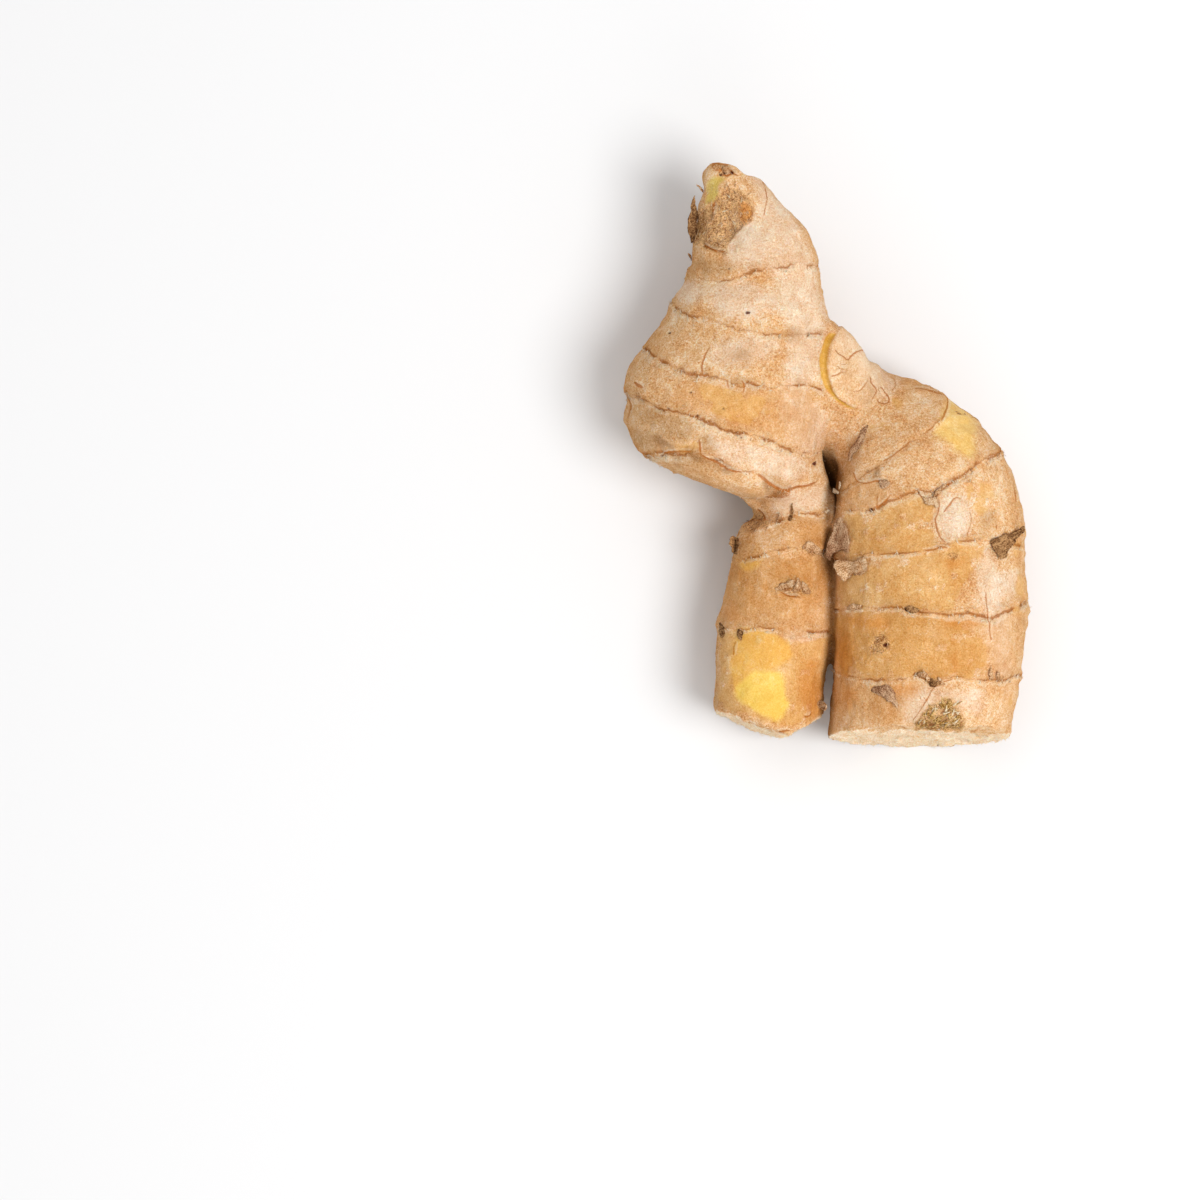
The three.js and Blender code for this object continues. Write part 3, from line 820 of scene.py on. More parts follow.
# Each point belongs to the lobe whose skin it is nearest to.
spots = [place_on(lobe, points) for lobe in LOBES.values()]
offs = np.stack([spot["off"] for spot in spots])
owner = offs.argmin(0)
along, angle, radius, spread = [
    np.choose(owner, [spot[key] for spot in spots]) for key in ("along", "angle", "radius", "spread")
]
turn = np.radians(angle)
ahead = np.choose(owner[:, None], [spot["ahead"] for spot in spots])

# Each mark becomes a field: how far inside it a point is, in millimetres.
fields = {}
for kind, marks in MARKS.items():
    stray = CRISP_STRAY if kind in CRISP_MARKS else STRAY
    depth = np.full(len(points), -REACH)
    for mark in marks:
        depth = np.maximum(depth, depth_inside(seen + stray * ragged, outline_of(mark), REACH))
    fields[kind] = np.where(facing, depth, -REACH)

# Islands of paper are left inside the rubbed patches.
islands = ease(0.75, 1.1, crags(points / 2.4, 47))
fields["bare"] = np.minimum(fields["bare"], 1.8) - 2.4 * islands

# Out of sight the skin is rubbed and scuffed here and there too.
hidden = ease(0.25, -0.15, towards)
for kind, (size, least, gain, seed) in HIDDEN_MARKS.items():
    patches = gain * (crags(points / size, seed) - least)
    fields[kind] = np.maximum(fields[kind], hidden * patches - (1 - hidden) * REACH)

pitted = np.full(len(points), -REACH)
for x, y, half in PITS:
    pitted = np.maximum(pitted, half - np.linalg.norm(seen + 0.12 * ragged - on_level((x, y)), axis=1))
fields["pit"] = np.where(facing, pitted, -REACH)
crack_gap, crack_half = beside_lines(seen + 0.10 * ragged, CRACKS)
crack_half[~facing] = -REACH

ring_gap, ring_show = ring_gaps(points, seen, facing, owner, spots)
crease = hollowness(points, edges, normals)
uneven = np.clip(0.62 + 0.75 * crags(points / 3.0, 41), 0.05, 1.4)
ring_show = ring_show * uneven * (1 - 0.5 * crease)

# Skin that another joint has shaded and stained, deep between the two fingers.
other = np.where(owner == FINGER, offs[THIN_FINGER], offs[FINGER])
paired = ((owner == FINGER) | (owner == THIN_FINGER)) & (points[:, 1] < 3)
fields["crevice_shade_and_stain"] = np.where(paired, CREVICE - other, -REACH)
# Painted shade: the bottoms of creases get a darker brown coat.
fields["crease"] = crease

ends = np.zeros(len(points))
for face in KNIFE_FACES:
    off, across = knife_depth(points, face)
    level = normals @ unit(np.array(KNIFE_FACES[face][1]))
    ends = np.maximum(ends, ease(0.75, 0.97, level) * hump(off, 0.9))

# From above a knife face is steeply foreshortened, so marks stop a little way down it.
inside = -offs.min(0)
for kind in MARKS:
    fields[kind] = np.where(ends > ON_END, np.minimum(fields[kind], MARK_DEPTH - inside), fields[kind])
crack_half = np.where(ends > ON_END, np.minimum(crack_half, MARK_DEPTH - inside), crack_half)
# Painted shade: the steeper the skin turns away from the top, the darker and warmer its coat; the cut ends
# are left out.
fields["painted_flank_shade"] = (1 - normals[:, 2]) * (1 - ends)
fields["cut"] = ends * ease(0.3, -0.3, fields.pop("end_paper"))
# The stele is a thin darker ring in the cut flesh, two thirds of the way out.
fields["stele"] = np.where(ends > 0.5, 0.3 - np.abs(spread - 0.66) * radius, -REACH)

# ---- The skin's relief ----

# Unevenness: how high it is, how large its hills are, and their seed.
ALL_OVER = [(0.13, 5.5, 11), (0.06, 1.5, 12)]
ON_CUTS = [(0.15, 0.9, 23), (0.2, 3.0, 27)]

# The ridges and the groove of a leaf scar: how far past it each lies, how wide it is and how high.
RING_RELIEF = [(-0.5, 0.5, 0.20), (0.12, 0.3, -0.26), (0.8, 0.45, 0.13)]

# Marks that stand up or lie deep: the depths between which each comes in, and its height.
MARK_RELIEF = {
    "bare": (-0.3, 0.3, -0.10),
    "flesh": (-0.3, 0.5, -0.16),
    "dull_flesh": (-0.3, 0.4, -0.10),
    "green_flesh": (-0.2, 0.6, -0.3),
    "pale": (-0.8, 0.6, 0.05),
    "scar": (-0.3, 0.5, -0.12),
    "pit": (-0.2, 0.3, -0.5),
    "slot": (-0.1, 0.9, -0.9),
    "groove": (-0.1, 0.5, -0.75),
}

grain = np.stack([along / 8, np.cos(turn) * radius, np.sin(turn) * radius], 1)
paper = ease(0.3, -0.2, fields["bare"]) * (1 - ends)

height = sum(tall * crags(points / size, seed) for tall, size, seed in ALL_OVER)
height += 0.03 * paper * hills(grain, 13)
for past, width, tall in RING_RELIEF:
    height += tall * ring_show * hump(ring_gap - past, width)
height += 0.08 * ring_show * hump(ring_gap, 1.6) * crags(points / 0.9, 21)
for kind, (low, high, tall) in MARK_RELIEF.items():
    height += tall * ease(low, high, fields[kind])
# A scar has a raised rim and a craggy floor, and the sliced face a rim alone.
height += 0.16 * hump(fields["scar"] + 0.1, 0.45)
height += 0.26 * ease(-0.3, 0.5, fields["scar"]) * crags(points / 1.6, 17)
height += 0.30 * ease(-0.1, 0.15, fields["disc"]) * ease(2.6, 0.2, fields["disc"])
height += -0.07 * ease(-0.3, 0.15, crack_half - np.abs(crack_gap))
height += ends * sum(tall * crags(points / size, seed) for tall, size, seed in ON_CUTS) - 0.18 * crease
for x, y, span, tall in SWELLS:
    height += tall * hump(np.linalg.norm(seen - on_level((x, y)), axis=1), span)
height *= ease(0.0, 0.8, points[:, 2])
points += normals * height[:, None]
points[:, 2] = np.maximum(points[:, 2], 0)
set_points(skin.data, points)
normals = read(skin.data.vertex_normals, "vector", 3)
shade_smooth(skin.data)

# A ring and a crack are kept as the signed way to their middle, so that they draw finer than the mesh.
fields["ring_gap"] = np.clip(ring_gap, -RING_REACH, RING_REACH)
fields["ring_show"] = np.where(np.abs(ring_gap) < RING_REACH, ring_show, -REACH)
fields["crack_gap"], fields["crack_half"] = crack_gap, crack_half
fields["grain"] = grain
for name, values in fields.items():
    note(skin.data, name, values)

# ---- Finishes ----

# Patterns: size in millimetres, detail, roughness, distortion, and whether they run with the joint's grain.
PATTERNS = {
    "cloud": (9.0, 3.0, 0.55, 0.0, False),
    "mottle": (2.2, 4.0, 0.65, 0.4, False),
    "crinkle": (0.9, 3.0, 0.6, 2.4, False),
    "fibres": (0.6, 2.0, 0.6, 4.0, False),
    "grit": (0.34, 2.0, 0.7, 0.0, False),
    "streaks": (0.7, 3.0, 0.65, 0.3, True),
}

# Mixes of those patterns, each about 0.5 in the middle.
BLENDS = {
    "papery": {"cloud": 0.9, "mottle": 0.9, "crinkle": 1.2, "fibres": 1.5, "grit": 1.6, "streaks": 0.3},
    "smooth": {"cloud": 0.9, "mottle": 0.9, "grit": 1.4, "streaks": 0.4, "fibres": 1.3},
    "woody": {"mottle": 1.2, "crinkle": 2.4, "fibres": 2.4, "grit": 1.2},
    "tooth": {"crinkle": 1.2, "fibres": 1.0, "grit": 0.8, "mottle": 0.6, "streaks": 0.5},
    "fray": {"crinkle": 1.0, "mottle": 1.0, "fibres": 0.7, "cloud": 0.4},
    "stringy": {"streaks": 1.6, "grit": 0.5},
}

PAPER = [(0.0, "#C98750"), (0.28, "#E3A96F"), (0.5, "#EFC08C"), (0.74, "#F7D3A8"), (1.0, "#FDE8CC")]

# Bands beside a line: the way to its middle and how much of it shows, the band's half width in millimetres,
# how far past the line it lies, and how far it strays.
BANDS = {
    "ring_fringe": ("ring_gap", "ring_show", 1.2, -0.2, 0.5),
    "ring_lip": ("ring_gap", "ring_show", 0.42, 0.62, 0.4),
    "ring_line": ("ring_gap", "ring_show", 0.25, 0.0, 0.5),
    "crack_lip": ("crack_gap", "crack_half", 1.5, 0.42, 0.2),
    "crack": ("crack_gap", "crack_half", 1.1, 0.0, 0.25),
}

# Coats over the paper, from the lowest to the topmost: the field each follows, the depths between which it
# comes in, how strongly, how frayed its edge is, the blend that mottles it, its dark and light colours, its
# roughness, and how much of the paper's tooth it keeps.
COATS = [
    # Painted shade on the steep sides.
    ("painted_flank_shade", 0.25, 1.0, 0.55, 0.3, "papery", "#B06C34", "#E2A664", 0.70, 1.0),
    # Paler paper, partly painted highlight on the lit right sides.
    ("pale", -1.6, 1.4, 0.46, 1.6, "papery", "#EFC9A4", "#FFF1E2", 0.70, 1.0),
    # Bleached paper, partly painted highlight.
    ("bleached_and_painted_highlight", -2.0, 1.6, 0.42, 2.2, "papery", "#F2D0A8", "#FFF6E6", 0.70, 1.0),
    # Brown stains, and painted shade beside the gap between the fingers.
    ("stain_and_shade", -1.6, 1.0, 0.50, 2.0, "papery", "#96622F", "#CC9A64", 0.72, 1.0),
    ("tanned", -2.2, 1.5, 0.55, 1.4, "smooth", "#C88646", "#EBB67A", 0.64, 0.9),
    ("bare", -0.4, 0.4, 0.75, 1.0, "smooth", "#CB8B40", "#EDBE77", 0.56, 0.7),
    ("ochre", -2.2, 1.6, 0.42, 1.4, "smooth", "#B8762A", "#E0A055", 0.58, 0.8),
    ("thinned", -0.6, 0.7, 0.78, 1.4, "smooth", "#DE9A34", "#F0C05C", 0.45, 0.5),
    # Deeper orange, and painted shade at the thick finger's left margin.
    ("amber_and_shade", -1.4, 1.2, 0.60, 1.5, "smooth", "#B4640F", "#DA9032", 0.48, 0.5),
    ("ring_fringe", -0.5, 1.0, 0.32, 1.2, "papery", "#B06A32", "#DDA566", 0.70, 1.1),
    ("ring_lip", -0.2, 0.25, 0.42, 0.7, "papery", "#F2CB96", "#FFF2DC", 0.70, 1.0),
    ("ring_line", -0.1, 0.14, 0.80, 0.45, "fray", "#78390F", "#CC7C34", 0.75, 1.0),
    ("disc", -0.1, 0.3, 0.45, 0.2, "papery", "#E8BC8B", "#FAE0C0", 0.68, 0.8),
    ("groove", -0.12, 0.22, 0.92, 0.1, "smooth", "#BD8620", "#DDAE4C", 0.50, 0.3),
    ("flesh", -0.6, 0.8, 0.85, 0.8, "smooth", "#E6B63C", "#F5D566", 0.40, 0.4),
    ("dull_flesh", -1.2, 1.0, 0.75, 1.4, "smooth", "#E2B04C", "#F3D07A", 0.50, 0.45),
    ("green_flesh", -0.5, 0.6, 0.90, 0.9, "smooth", "#C0902A", "#F0D66E", 0.50, 0.9),
    # Painted shade in the creases.
    ("crease", 0.2, 1.0, 0.32, 0.2, "papery", "#8A562C", "#B9854E", 0.80, 1.0),
    # Painted shade and stain deep between the fingers.
    ("crevice_shade_and_stain", 0.0, 3.2, 0.90, 0.8, "smooth", "#3A200D", "#9A6029", 0.80, 1.0),
    ("cut", 0.05, 0.7, 0.92, 0.8, "woody", "#EDBE86", "#FFF4E0", 0.76, 0.7),
    ("stele", -0.3, 0.3, 0.25, 0.4, "woody", "#D0983F", "#EAC382", 0.74, 0.7),
    ("scar", -0.35, 0.5, 0.82, 1.2, "woody", "#84400E", "#FCCB8C", 0.80, 1.0),
    ("rust", -0.6, 0.6, 0.80, 1.2, "woody", "#8E4208", "#F0A858", 0.80, 0.9),
    ("withered", -0.4, 0.8, 0.55, 1.6, "woody", "#44240C", "#B87C42", 0.85, 0.8),
    ("crack_lip", -0.1, 0.12, 0.30, 0.2, "papery", "#F4D09E", "#FFF6E4", 0.70, 1.0),
    ("crack", -0.06, 0.1, 0.80, 0.4, "fray", "#8A3F0C", "#D98436", 0.75, 1.0),
    ("pit", -0.15, 0.15, 0.95, 0.0, "fray", "#441810", "#6E2C1C", 0.80, 1.0),
    # Painted shade where the fingers part, near black at the bottom of the gap.
    ("shade", -0.8, 1.0, 0.85, 0.4, "smooth", "#341C0A", "#7A4C22", 0.85, 1.0),
    ("slot", -0.15, 0.4, 1.00, 0.2, "fray", "#160B04", "#432812", 0.90, 1.0),
]


def blended_patterns(tree, size=1.0):
    """The patterns, mixed as BLENDS says. size makes every pattern larger or smaller."""
    place = add(tree, "ShaderNodeTexCoord").outputs["Object"]
    grain = add(tree, "ShaderNodeAttribute", {"attribute_name": "grain"}).outputs["Vector"]
    mixes = {}
    for name, (span, detail, rough, distortion, follows_grain) in PATTERNS.items():
        scale = 1 / (span * size * (1 if follows_grain else MM))
        settings = {"Scale": scale, "Detail": detail, "Roughness": rough, "Distortion": distortion}
        noise = add(tree, "ShaderNodeTexNoise", settings, {"Vector": grain if follows_grain else place})
        mixes[name] = noise.outputs["Fac"]
    for name, parts in BLENDS.items():
        total = None
        for pattern, share in parts.items():
            settings = {"operation": "MULTIPLY_ADD", 1: share, 2: 0.5 - sum(parts.values()) / 2}
            links = {0: mixes[pattern]} if total is None else {0: mixes[pattern], 2: total}
            total = add(tree, "ShaderNodeMath", settings, links).outputs[0]
        mixes[name] = total
    return mixes


def ginger_skin():
    """Fresh ginger rhizome, washed and dried.

    Thin papery cork over damp flesh: matt, finely fibrous and mottled. Where it has rubbed off, a smoother
    and warmer layer shows, with a soft sheen. Flesh is wet and yellow. Cut ends are cream and fibrous. Leaf
    scars are thin broken lines of dead tissue, each with a pale lip below it.
    """
    material, tree = new_material("papery ginger skin")
    mixes = blended_patterns(tree)
    readings = {}
    for name, (beside, width, half, shift, stray) in BANDS.items():
        way = add(tree, "ShaderNodeAttribute", {"attribute_name": beside}).outputs["Fac"]
        shown = add(tree, "ShaderNodeAttribute", {"attribute_name": width}).outputs["Fac"]
        links = {0: mixes["fray"], 2: way}
        strayed = add(tree, "ShaderNodeMath", {"operation": "MULTIPLY_ADD", 1: stray}, links).outputs[0]
        settings = {"operation": "SUBTRACT", 1: shift + stray / 2}
        centred = add(tree, "ShaderNodeMath", settings, {0: strayed}).outputs[0]
        away = add(tree, "ShaderNodeMath", {"operation": "ABSOLUTE"}, {0: centred}).outputs[0]
        reach = add(tree, "ShaderNodeMath", {"operation": "MULTIPLY", 1: half}, {0: shown}).outputs[0]
        links = {0: reach, 1: away}
        readings[name] = add(tree, "ShaderNodeMath", {"operation": "SUBTRACT"}, links).outputs[0]

    colour = add(tree, "ShaderNodeValToRGB", links={0: mixes["papery"]}, stops=PAPER).outputs[0]
    rough, tooth = None, None
    for field, low, high, share, fray, blend, dark, light, matt, grip in COATS:
        if field not in readings:
            readings[field] = add(tree, "ShaderNodeAttribute", {"attribute_name": field}).outputs["Fac"]
        links = {0: mixes["fray"], 2: readings[field]}
        level = add(tree, "ShaderNodeMath", {"operation": "MULTIPLY_ADD", 1: fray}, links).outputs[0]
        # The fray is 0.5 in its middle, so half of it is added to the depths too.
        settings = {"interpolation_type": "SMOOTHSTEP", 1: low + fray / 2, 2: high + fray / 2, 4: share}
        cover = add(tree, "ShaderNodeMapRange", settings, {0: level}).outputs[0]
        settings = {"data_type": "RGBA", 6: linear(dark), 7: linear(light)}
        hue = add(tree, "ShaderNodeMix", settings, {0: mixes[blend]}).outputs[2]
        colour = add(tree, "ShaderNodeMix", {"data_type": "RGBA"}, {0: cover, 6: colour, 7: hue}).outputs[2]
        links = {0: cover} if rough is None else {0: cover, 2: rough}
        rough = add(tree, "ShaderNodeMix", {"data_type": "FLOAT", 2: 0.68, 3: matt}, links).outputs[0]
        links = {0: cover} if tooth is None else {0: cover, 2: tooth}
        tooth = add(tree, "ShaderNodeMix", {"data_type": "FLOAT", 2: 1.0, 3: grip}, links).outputs[0]

    links = {"Height": mixes["tooth"], "Strength": tooth}
    bump = add(tree, "ShaderNodeBump", {"Distance": 0.25 * MM}, links).outputs[0]
    # What is smooth is damp and catches the light; dry paper and cut fibre hardly do.
    settings = {1: 0.4, 2: 0.66, 3: 0.45, 4: 0.0}
    sheen = add(tree, "ShaderNodeMapRange", settings, {0: rough}).outputs[0]
    settings = {
        "IOR": 1.45,
        "Subsurface Weight": 0.15,
        "Subsurface Radius": (1.0, 0.45, 0.18),
        "Subsurface Scale": 1.6 * MM,
    }
    links = {"Base Color": colour, "Roughness": rough, "Specular IOR Level": sheen, "Normal": bump}
    shader = add(tree, "ShaderNodeBsdfPrincipled", settings, links)
    add(tree, "ShaderNodeOutputMaterial", links={"Surface": shader.outputs[0]})
    return material


def dry_tissue(name, colours, roughness):
    """Dead leaf scale or fibre: brittle and matt, faintly streaked along it, paler at its free edge."""
    material, tree = new_material(name)
    mixes = blended_patterns(tree, 0.7)
    free = add(tree, "ShaderNodeAttribute", {"attribute_name": "free"}).outputs["Fac"]
    settings = {"operation": "MULTIPLY_ADD", 1: 0.4, 2: -0.5}
    edge = add(tree, "ShaderNodeMath", settings, {0: free}).outputs[0]
    links = {0: mixes["woody"], 2: edge}
    folded = add(tree, "ShaderNodeMath", {"operation": "MULTIPLY_ADD", 1: 0.9}, links).outputs[0]
    links = {0: mixes["stringy"], 2: folded}
    level = add(tree, "ShaderNodeMath", {"operation": "MULTIPLY_ADD", 1: 0.8}, links).outputs[0]
    stops = list(zip((0.0, 0.5, 1.0), colours))
    colour = add(tree, "ShaderNodeValToRGB", links={0: level}, stops=stops).outputs[0]
    links = {"Height": mixes["tooth"]}
    bump = add(tree, "ShaderNodeBump", {"Strength": 0.9, "Distance": 0.25 * MM}, links).outputs[0]
    settings = {"IOR": 1.45, "Specular IOR Level": 0.05, "Roughness": roughness}
    links = {"Base Color": colour, "Normal": bump}
    shader = add(tree, "ShaderNodeBsdfPrincipled", settings, links)
    add(tree, "ShaderNodeOutputMaterial", links={"Surface": shader.outputs[0]})
    return material


skin.data.materials.clear()
skin.data.materials.append(ginger_skin())
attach(skin, "root")
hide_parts("rhizome")

TISSUES = {
    "dark": dry_tissue("dark dry leaf scale", ("#3A2415", "#8E5F38", "#D9AA76"), 0.85),
    "dusky": dry_tissue("dusky leaf scale", ("#74472C", "#C2906A", "#F0D0AA"), 0.85),
    "tan": dry_tissue("tan bud scale", ("#8A5028", "#D29C68", "#F8DAB4"), 0.8),
    "pale": dry_tissue("pale loose paper", ("#CDA273", "#F1D5AE", "#FEF4E2"), 0.75),
    "olive": dry_tissue("olive root fibre", ("#6A4416", "#C48E42", "#FFE0A2"), 0.8),
    "fibre": dry_tissue("pale cut fibre", ("#DDB67C", "#F6DFB4", "#FFF8E8"), 0.75),
}

# ---- Dry scales ----

SCALE_STEP = 0.42  # spacing of a scale's points
SCALE_WALL = 0.2  # how thick a scale is
SCALE_FOOT = 0.14  # how far its fixed side stands off the skin
SCALE_DROP = 2.5  # how far it may hang into a gap

# Each scale: its tissue, the way its free edge lies in degrees from right towards the top of the frame, how
# high that edge stands, how far it bellies up, and its outline in pixels of the frame.
DRY_SCALES = {
    "tip_spike": ("dark", 95, 0.5, 0.2, [
        (694, 196), (696, 204), (698, 214), (697, 224), (696, 236), (692, 243), (689, 237), (688, 228),
        (690, 211),
    ]),
    "tip_hair": ("tan", 120, 0.3, 0.05, [(696, 184), (699, 186), (703, 190), (702, 192), (699, 188)]),
    "tip_low_spike": ("dark", 110, 0.5, 0.1, [(688, 253), (691, 256), (692, 259), (690, 260)]),
    "tip_stub": ("tan", 20, 0.5, 0.5, [
        (722, 168), (726, 166), (731, 168), (731, 172), (727, 174), (723, 172),
    ]),
    "shoulder_corner": ("dusky", 300, 0.8, 0.2, [
        (881, 479), (889, 482), (885, 487), (881, 487), (879, 482),
    ]),
    "bend_fold": ("dusky", 235, 0.5, 0.3, [
        (868, 424), (865, 433), (863, 441), (858, 447), (853, 454), (848, 461), (850, 450), (857, 439),
        (862, 430),
    ]),
    "slot_leaf": ("dusky", 70, 1.3, 0.7, [
        (838, 517), (843, 523), (847, 532), (849, 540), (849, 548), (847, 553), (842, 550), (836, 552),
        (831, 556), (829, 561), (824, 556), (826, 549), (828, 541), (831, 533), (834, 525),
    ]),
    "slot_crumb": ("tan", 200, 1.2, 0.7, [
        (831, 563), (840, 560), (850, 561), (864, 560), (865, 567), (860, 573), (851, 574), (845, 582),
        (840, 576), (834, 571),
    ]),
    "slot_rim": ("tan", 20, 0.5, 0.2, [(854, 562), (864, 558), (866, 570), (860, 575), (853, 573)]),
    "slot_grit": ("pale", 0, 0.4, 0.2, [(833, 489), (837, 490), (837, 493), (833, 492)]),
    "slot_splinter": ("pale", 80, 0.4, 0.1, [(839, 482), (841, 484), (840, 489), (838, 488)]),
    "thin_grit": ("pale", 20, 0.4, 0.2, [(824, 512), (827, 510), (830, 511), (826, 514)]),
    "right_edge_scale": ("dark", 215, 0.9, 0.4, [
        (992, 540), (998, 537), (1006, 534), (1012, 533), (1021, 526), (1022, 533), (1016, 540),
        (1012, 546), (1008, 553), (1004, 558), (999, 557), (996, 552), (994, 546),
    ]),
    "ring_flap": ("tan", 280, 0.5, 0.3, [
        (918, 490), (920, 496), (927, 498), (937, 497), (937, 507), (930, 504), (923, 501),
    ]),
    "ring_edge": ("tan", 120, 0.6, 0.2, [
        (934, 496), (936, 491), (941, 487), (947, 485), (943, 490), (938, 496),
    ]),
    "thin_left_barb": ("dark", 170, 1.2, 0.3, [(729, 539), (734, 537), (739, 544), (736, 554), (733, 550)]),
    "thin_left_tag": ("dark", 190, 0.6, 0.2, [(719, 624), (723, 626), (724, 634), (720, 636)]),
    "neck_thorn": ("dark", 75, 0.7, 0.2, [(793, 504), (793, 512), (792, 520), (787, 520), (790, 512)]),
    "neck_small_thorn": ("tan", 85, 0.5, 0.1, [(779, 513), (782, 521), (779, 523), (777, 519)]),
    "thin_ring_flake": ("tan", 60, 0.5, 0.3, [
        (803, 547), (808, 541), (814, 543), (820, 549), (823, 556), (815, 552), (808, 551),
    ]),
    "bud_left_lid": ("tan", 100, 0.7, 0.3, [
        (775, 590), (780, 586), (787, 582), (793, 580), (795, 584), (788, 589),
    ]),
    "bud_thorn": ("tan", 75, 0.9, 0.2, [(798, 578), (801, 584), (800, 590), (792, 591), (795, 585)]),
    "bud_right_lid": ("tan", 60, 0.6, 0.3, [(802, 583), (806, 585), (810, 591), (810, 594), (803, 592)]),
    "thin_slit_scale": ("dark", 250, 0.5, 0.2, [(739, 629), (743, 633), (741, 640), (737, 636)]),
    "fan_scale": ("dusky", 310, 0.5, 0.3, [
        (871, 690), (876, 687), (884, 685), (891, 686), (895, 693), (896, 700), (898, 707), (892, 703),
        (884, 699), (877, 695),
    ]),
    "third_ring_left_curl": ("tan", 80, 0.6, 0.4, [
        (847, 607), (854, 604), (860, 606), (858, 610), (850, 611),
    ]),
    "third_ring_curl": ("dark", 60, 0.6, 0.4, [(904, 608), (911, 606), (918, 610), (916, 613), (908, 612)]),
    "last_ring_arch": ("tan", 60, 0.7, 0.4, [
        (915, 676), (919, 672), (925, 671), (929, 676), (930, 686), (927, 682), (924, 678),
    ]),
    "last_ring_curl": ("dark", 60, 0.7, 0.4, [(930, 680), (934, 679), (938, 683), (935, 687), (931, 686)]),
    "last_ring_fold": ("tan", 70, 0.5, 0.2, [(939, 677), (944, 683), (941, 685), (938, 681)]),
    "last_ring_hook": ("tan", 80, 0.8, 0.2, [(992, 667), (993, 673), (993, 680), (990, 680), (990, 673)]),
    "last_ring_splinter": ("tan", 80, 0.7, 0.2, [
        (998, 672), (1000, 677), (999, 683), (997, 681), (996, 676),
    ]),
    "end_nib": ("tan", 0, 0.3, 0.1, [(818, 701), (825, 702), (827, 707), (824, 709), (818, 708)]),
}


def dry_scale(name, tissue, free, rise, belly, outline, seed):
    """One thin curled scale, fixed to the skin along one side and lifted along the other."""
    rim = spline(on_level(outline), 5, closed=True)
    flat = np.column_stack([rim, np.zeros(len(rim))])
    rim = rim + 0.13 * np.stack([crags(flat / 0.8, dice) for dice in (seed, seed + 9)], 1)
    low, high = rim.min(0), rim.max(0)
    across, down = np.meshgrid(*[np.arange(a, b, SCALE_STEP) for a, b in zip(low, high)])
    inner = np.stack([across.ravel(), down.ravel()], 1)
    inner = inner[depth_inside(inner, rim, REACH) > 0.5 * SCALE_STEP]
    sides = [(i, (i + 1) % len(rim)) for i in range(len(rim))]
    flat, _, faces, *_ = delaunay_2d_cdt([Vector(p) for p in np.vstack([rim, inner])], sides, [], 1, 1e-5)
    flat = np.array([list(p) for p in flat])

    eye = Vector(EYE)
    base = []
    for x, y in flat:
        ray = (Vector((x, y, SIGHT_LEVEL)) - eye).normalized()
        hit, *_ = body.ray_cast(eye, ray)
        if hit is None:
            level = body.find_nearest(eye + ray * (EYE[2] - SIGHT_LEVEL))[0].z
            hit = eye + ray * ((level - EYE[2]) / ray.z)
        base.append(list(hit))
    base = np.array(base)
    # Over a gap a scale keeps the level of its own highest side.
    base[:, 2] = np.maximum(base[:, 2], np.percentile(base[:, 2], 80) - SCALE_DROP)

    way = np.array([np.cos(np.radians(free)), np.sin(np.radians(free))])
    reach = flat @ way
    share = (reach - reach.min()) / np.ptp(reach)
    sideways = flat @ [-way[1], way[0]]
    middle = 1 - np.abs(2 * (sideways - sideways.min()) / np.ptp(sideways) - 1)
    crumple = 0.18 * crags(base / 1.2, seed + 20) * ease(0, 0.3, share)
    lift = SCALE_FOOT + rise * share**1.6 + belly * middle * np.sin(np.pi * share) + crumple
    top = base + unit(EYE - base) * lift[:, None]

    mesh = bpy.data.meshes.new(name)
    mesh.from_pydata((top * MM).tolist(), [], [list(face) for face in faces])
    shape = bmesh.new()
    shape.from_mesh(mesh)
    bmesh.ops.recalc_face_normals(shape, faces=shape.faces)
    if sum(face.normal.z for face in shape.faces) < 0:
        bmesh.ops.reverse_faces(shape, faces=shape.faces)
    shape.to_mesh(mesh)
    shape.free()
    note(mesh, "grain", np.stack([reach / 8, sideways, 0 * reach], 1))
    note(mesh, "free", share)
    shade_smooth(mesh)
    piece = placed(name, mesh)
    wall = piece.modifiers.new("wall", "SOLIDIFY")
    wall.thickness, wall.offset = SCALE_WALL * MM, -1
    mesh.materials.append(TISSUES[tissue])
    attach(piece, "root")


body = BVHTree.FromPolygons(points.tolist(), read(skin.data.polygons, "vertices", 4, np.int64).tolist())
for seed, (name, (tissue, free, rise, belly, outline)) in enumerate(DRY_SCALES.items()):
    dry_scale(name, tissue, free, rise, belly, outline, 100 + seed)

# ---- Shreds and fibres ----


# How a cone one unit high becomes a shred: each row works out one value from those above it.
SHRED_SUMS = [
    ("half", "MULTIPLY", "Width", 0.5),
    ("thin", "MULTIPLY", "half", 0.5),
    ("side", "MULTIPLY", "X", "half"),
    ("face", "MULTIPLY", "Y", "thin"),
    ("square", "POWER", "Z", 2.0),
    ("bend", "MULTIPLY", "Curl", "Length"),
    ("up", "MULTIPLY_ADD", "square", "bend", "face"),
    ("far", "MULTIPLY", "Z", "Length"),
]


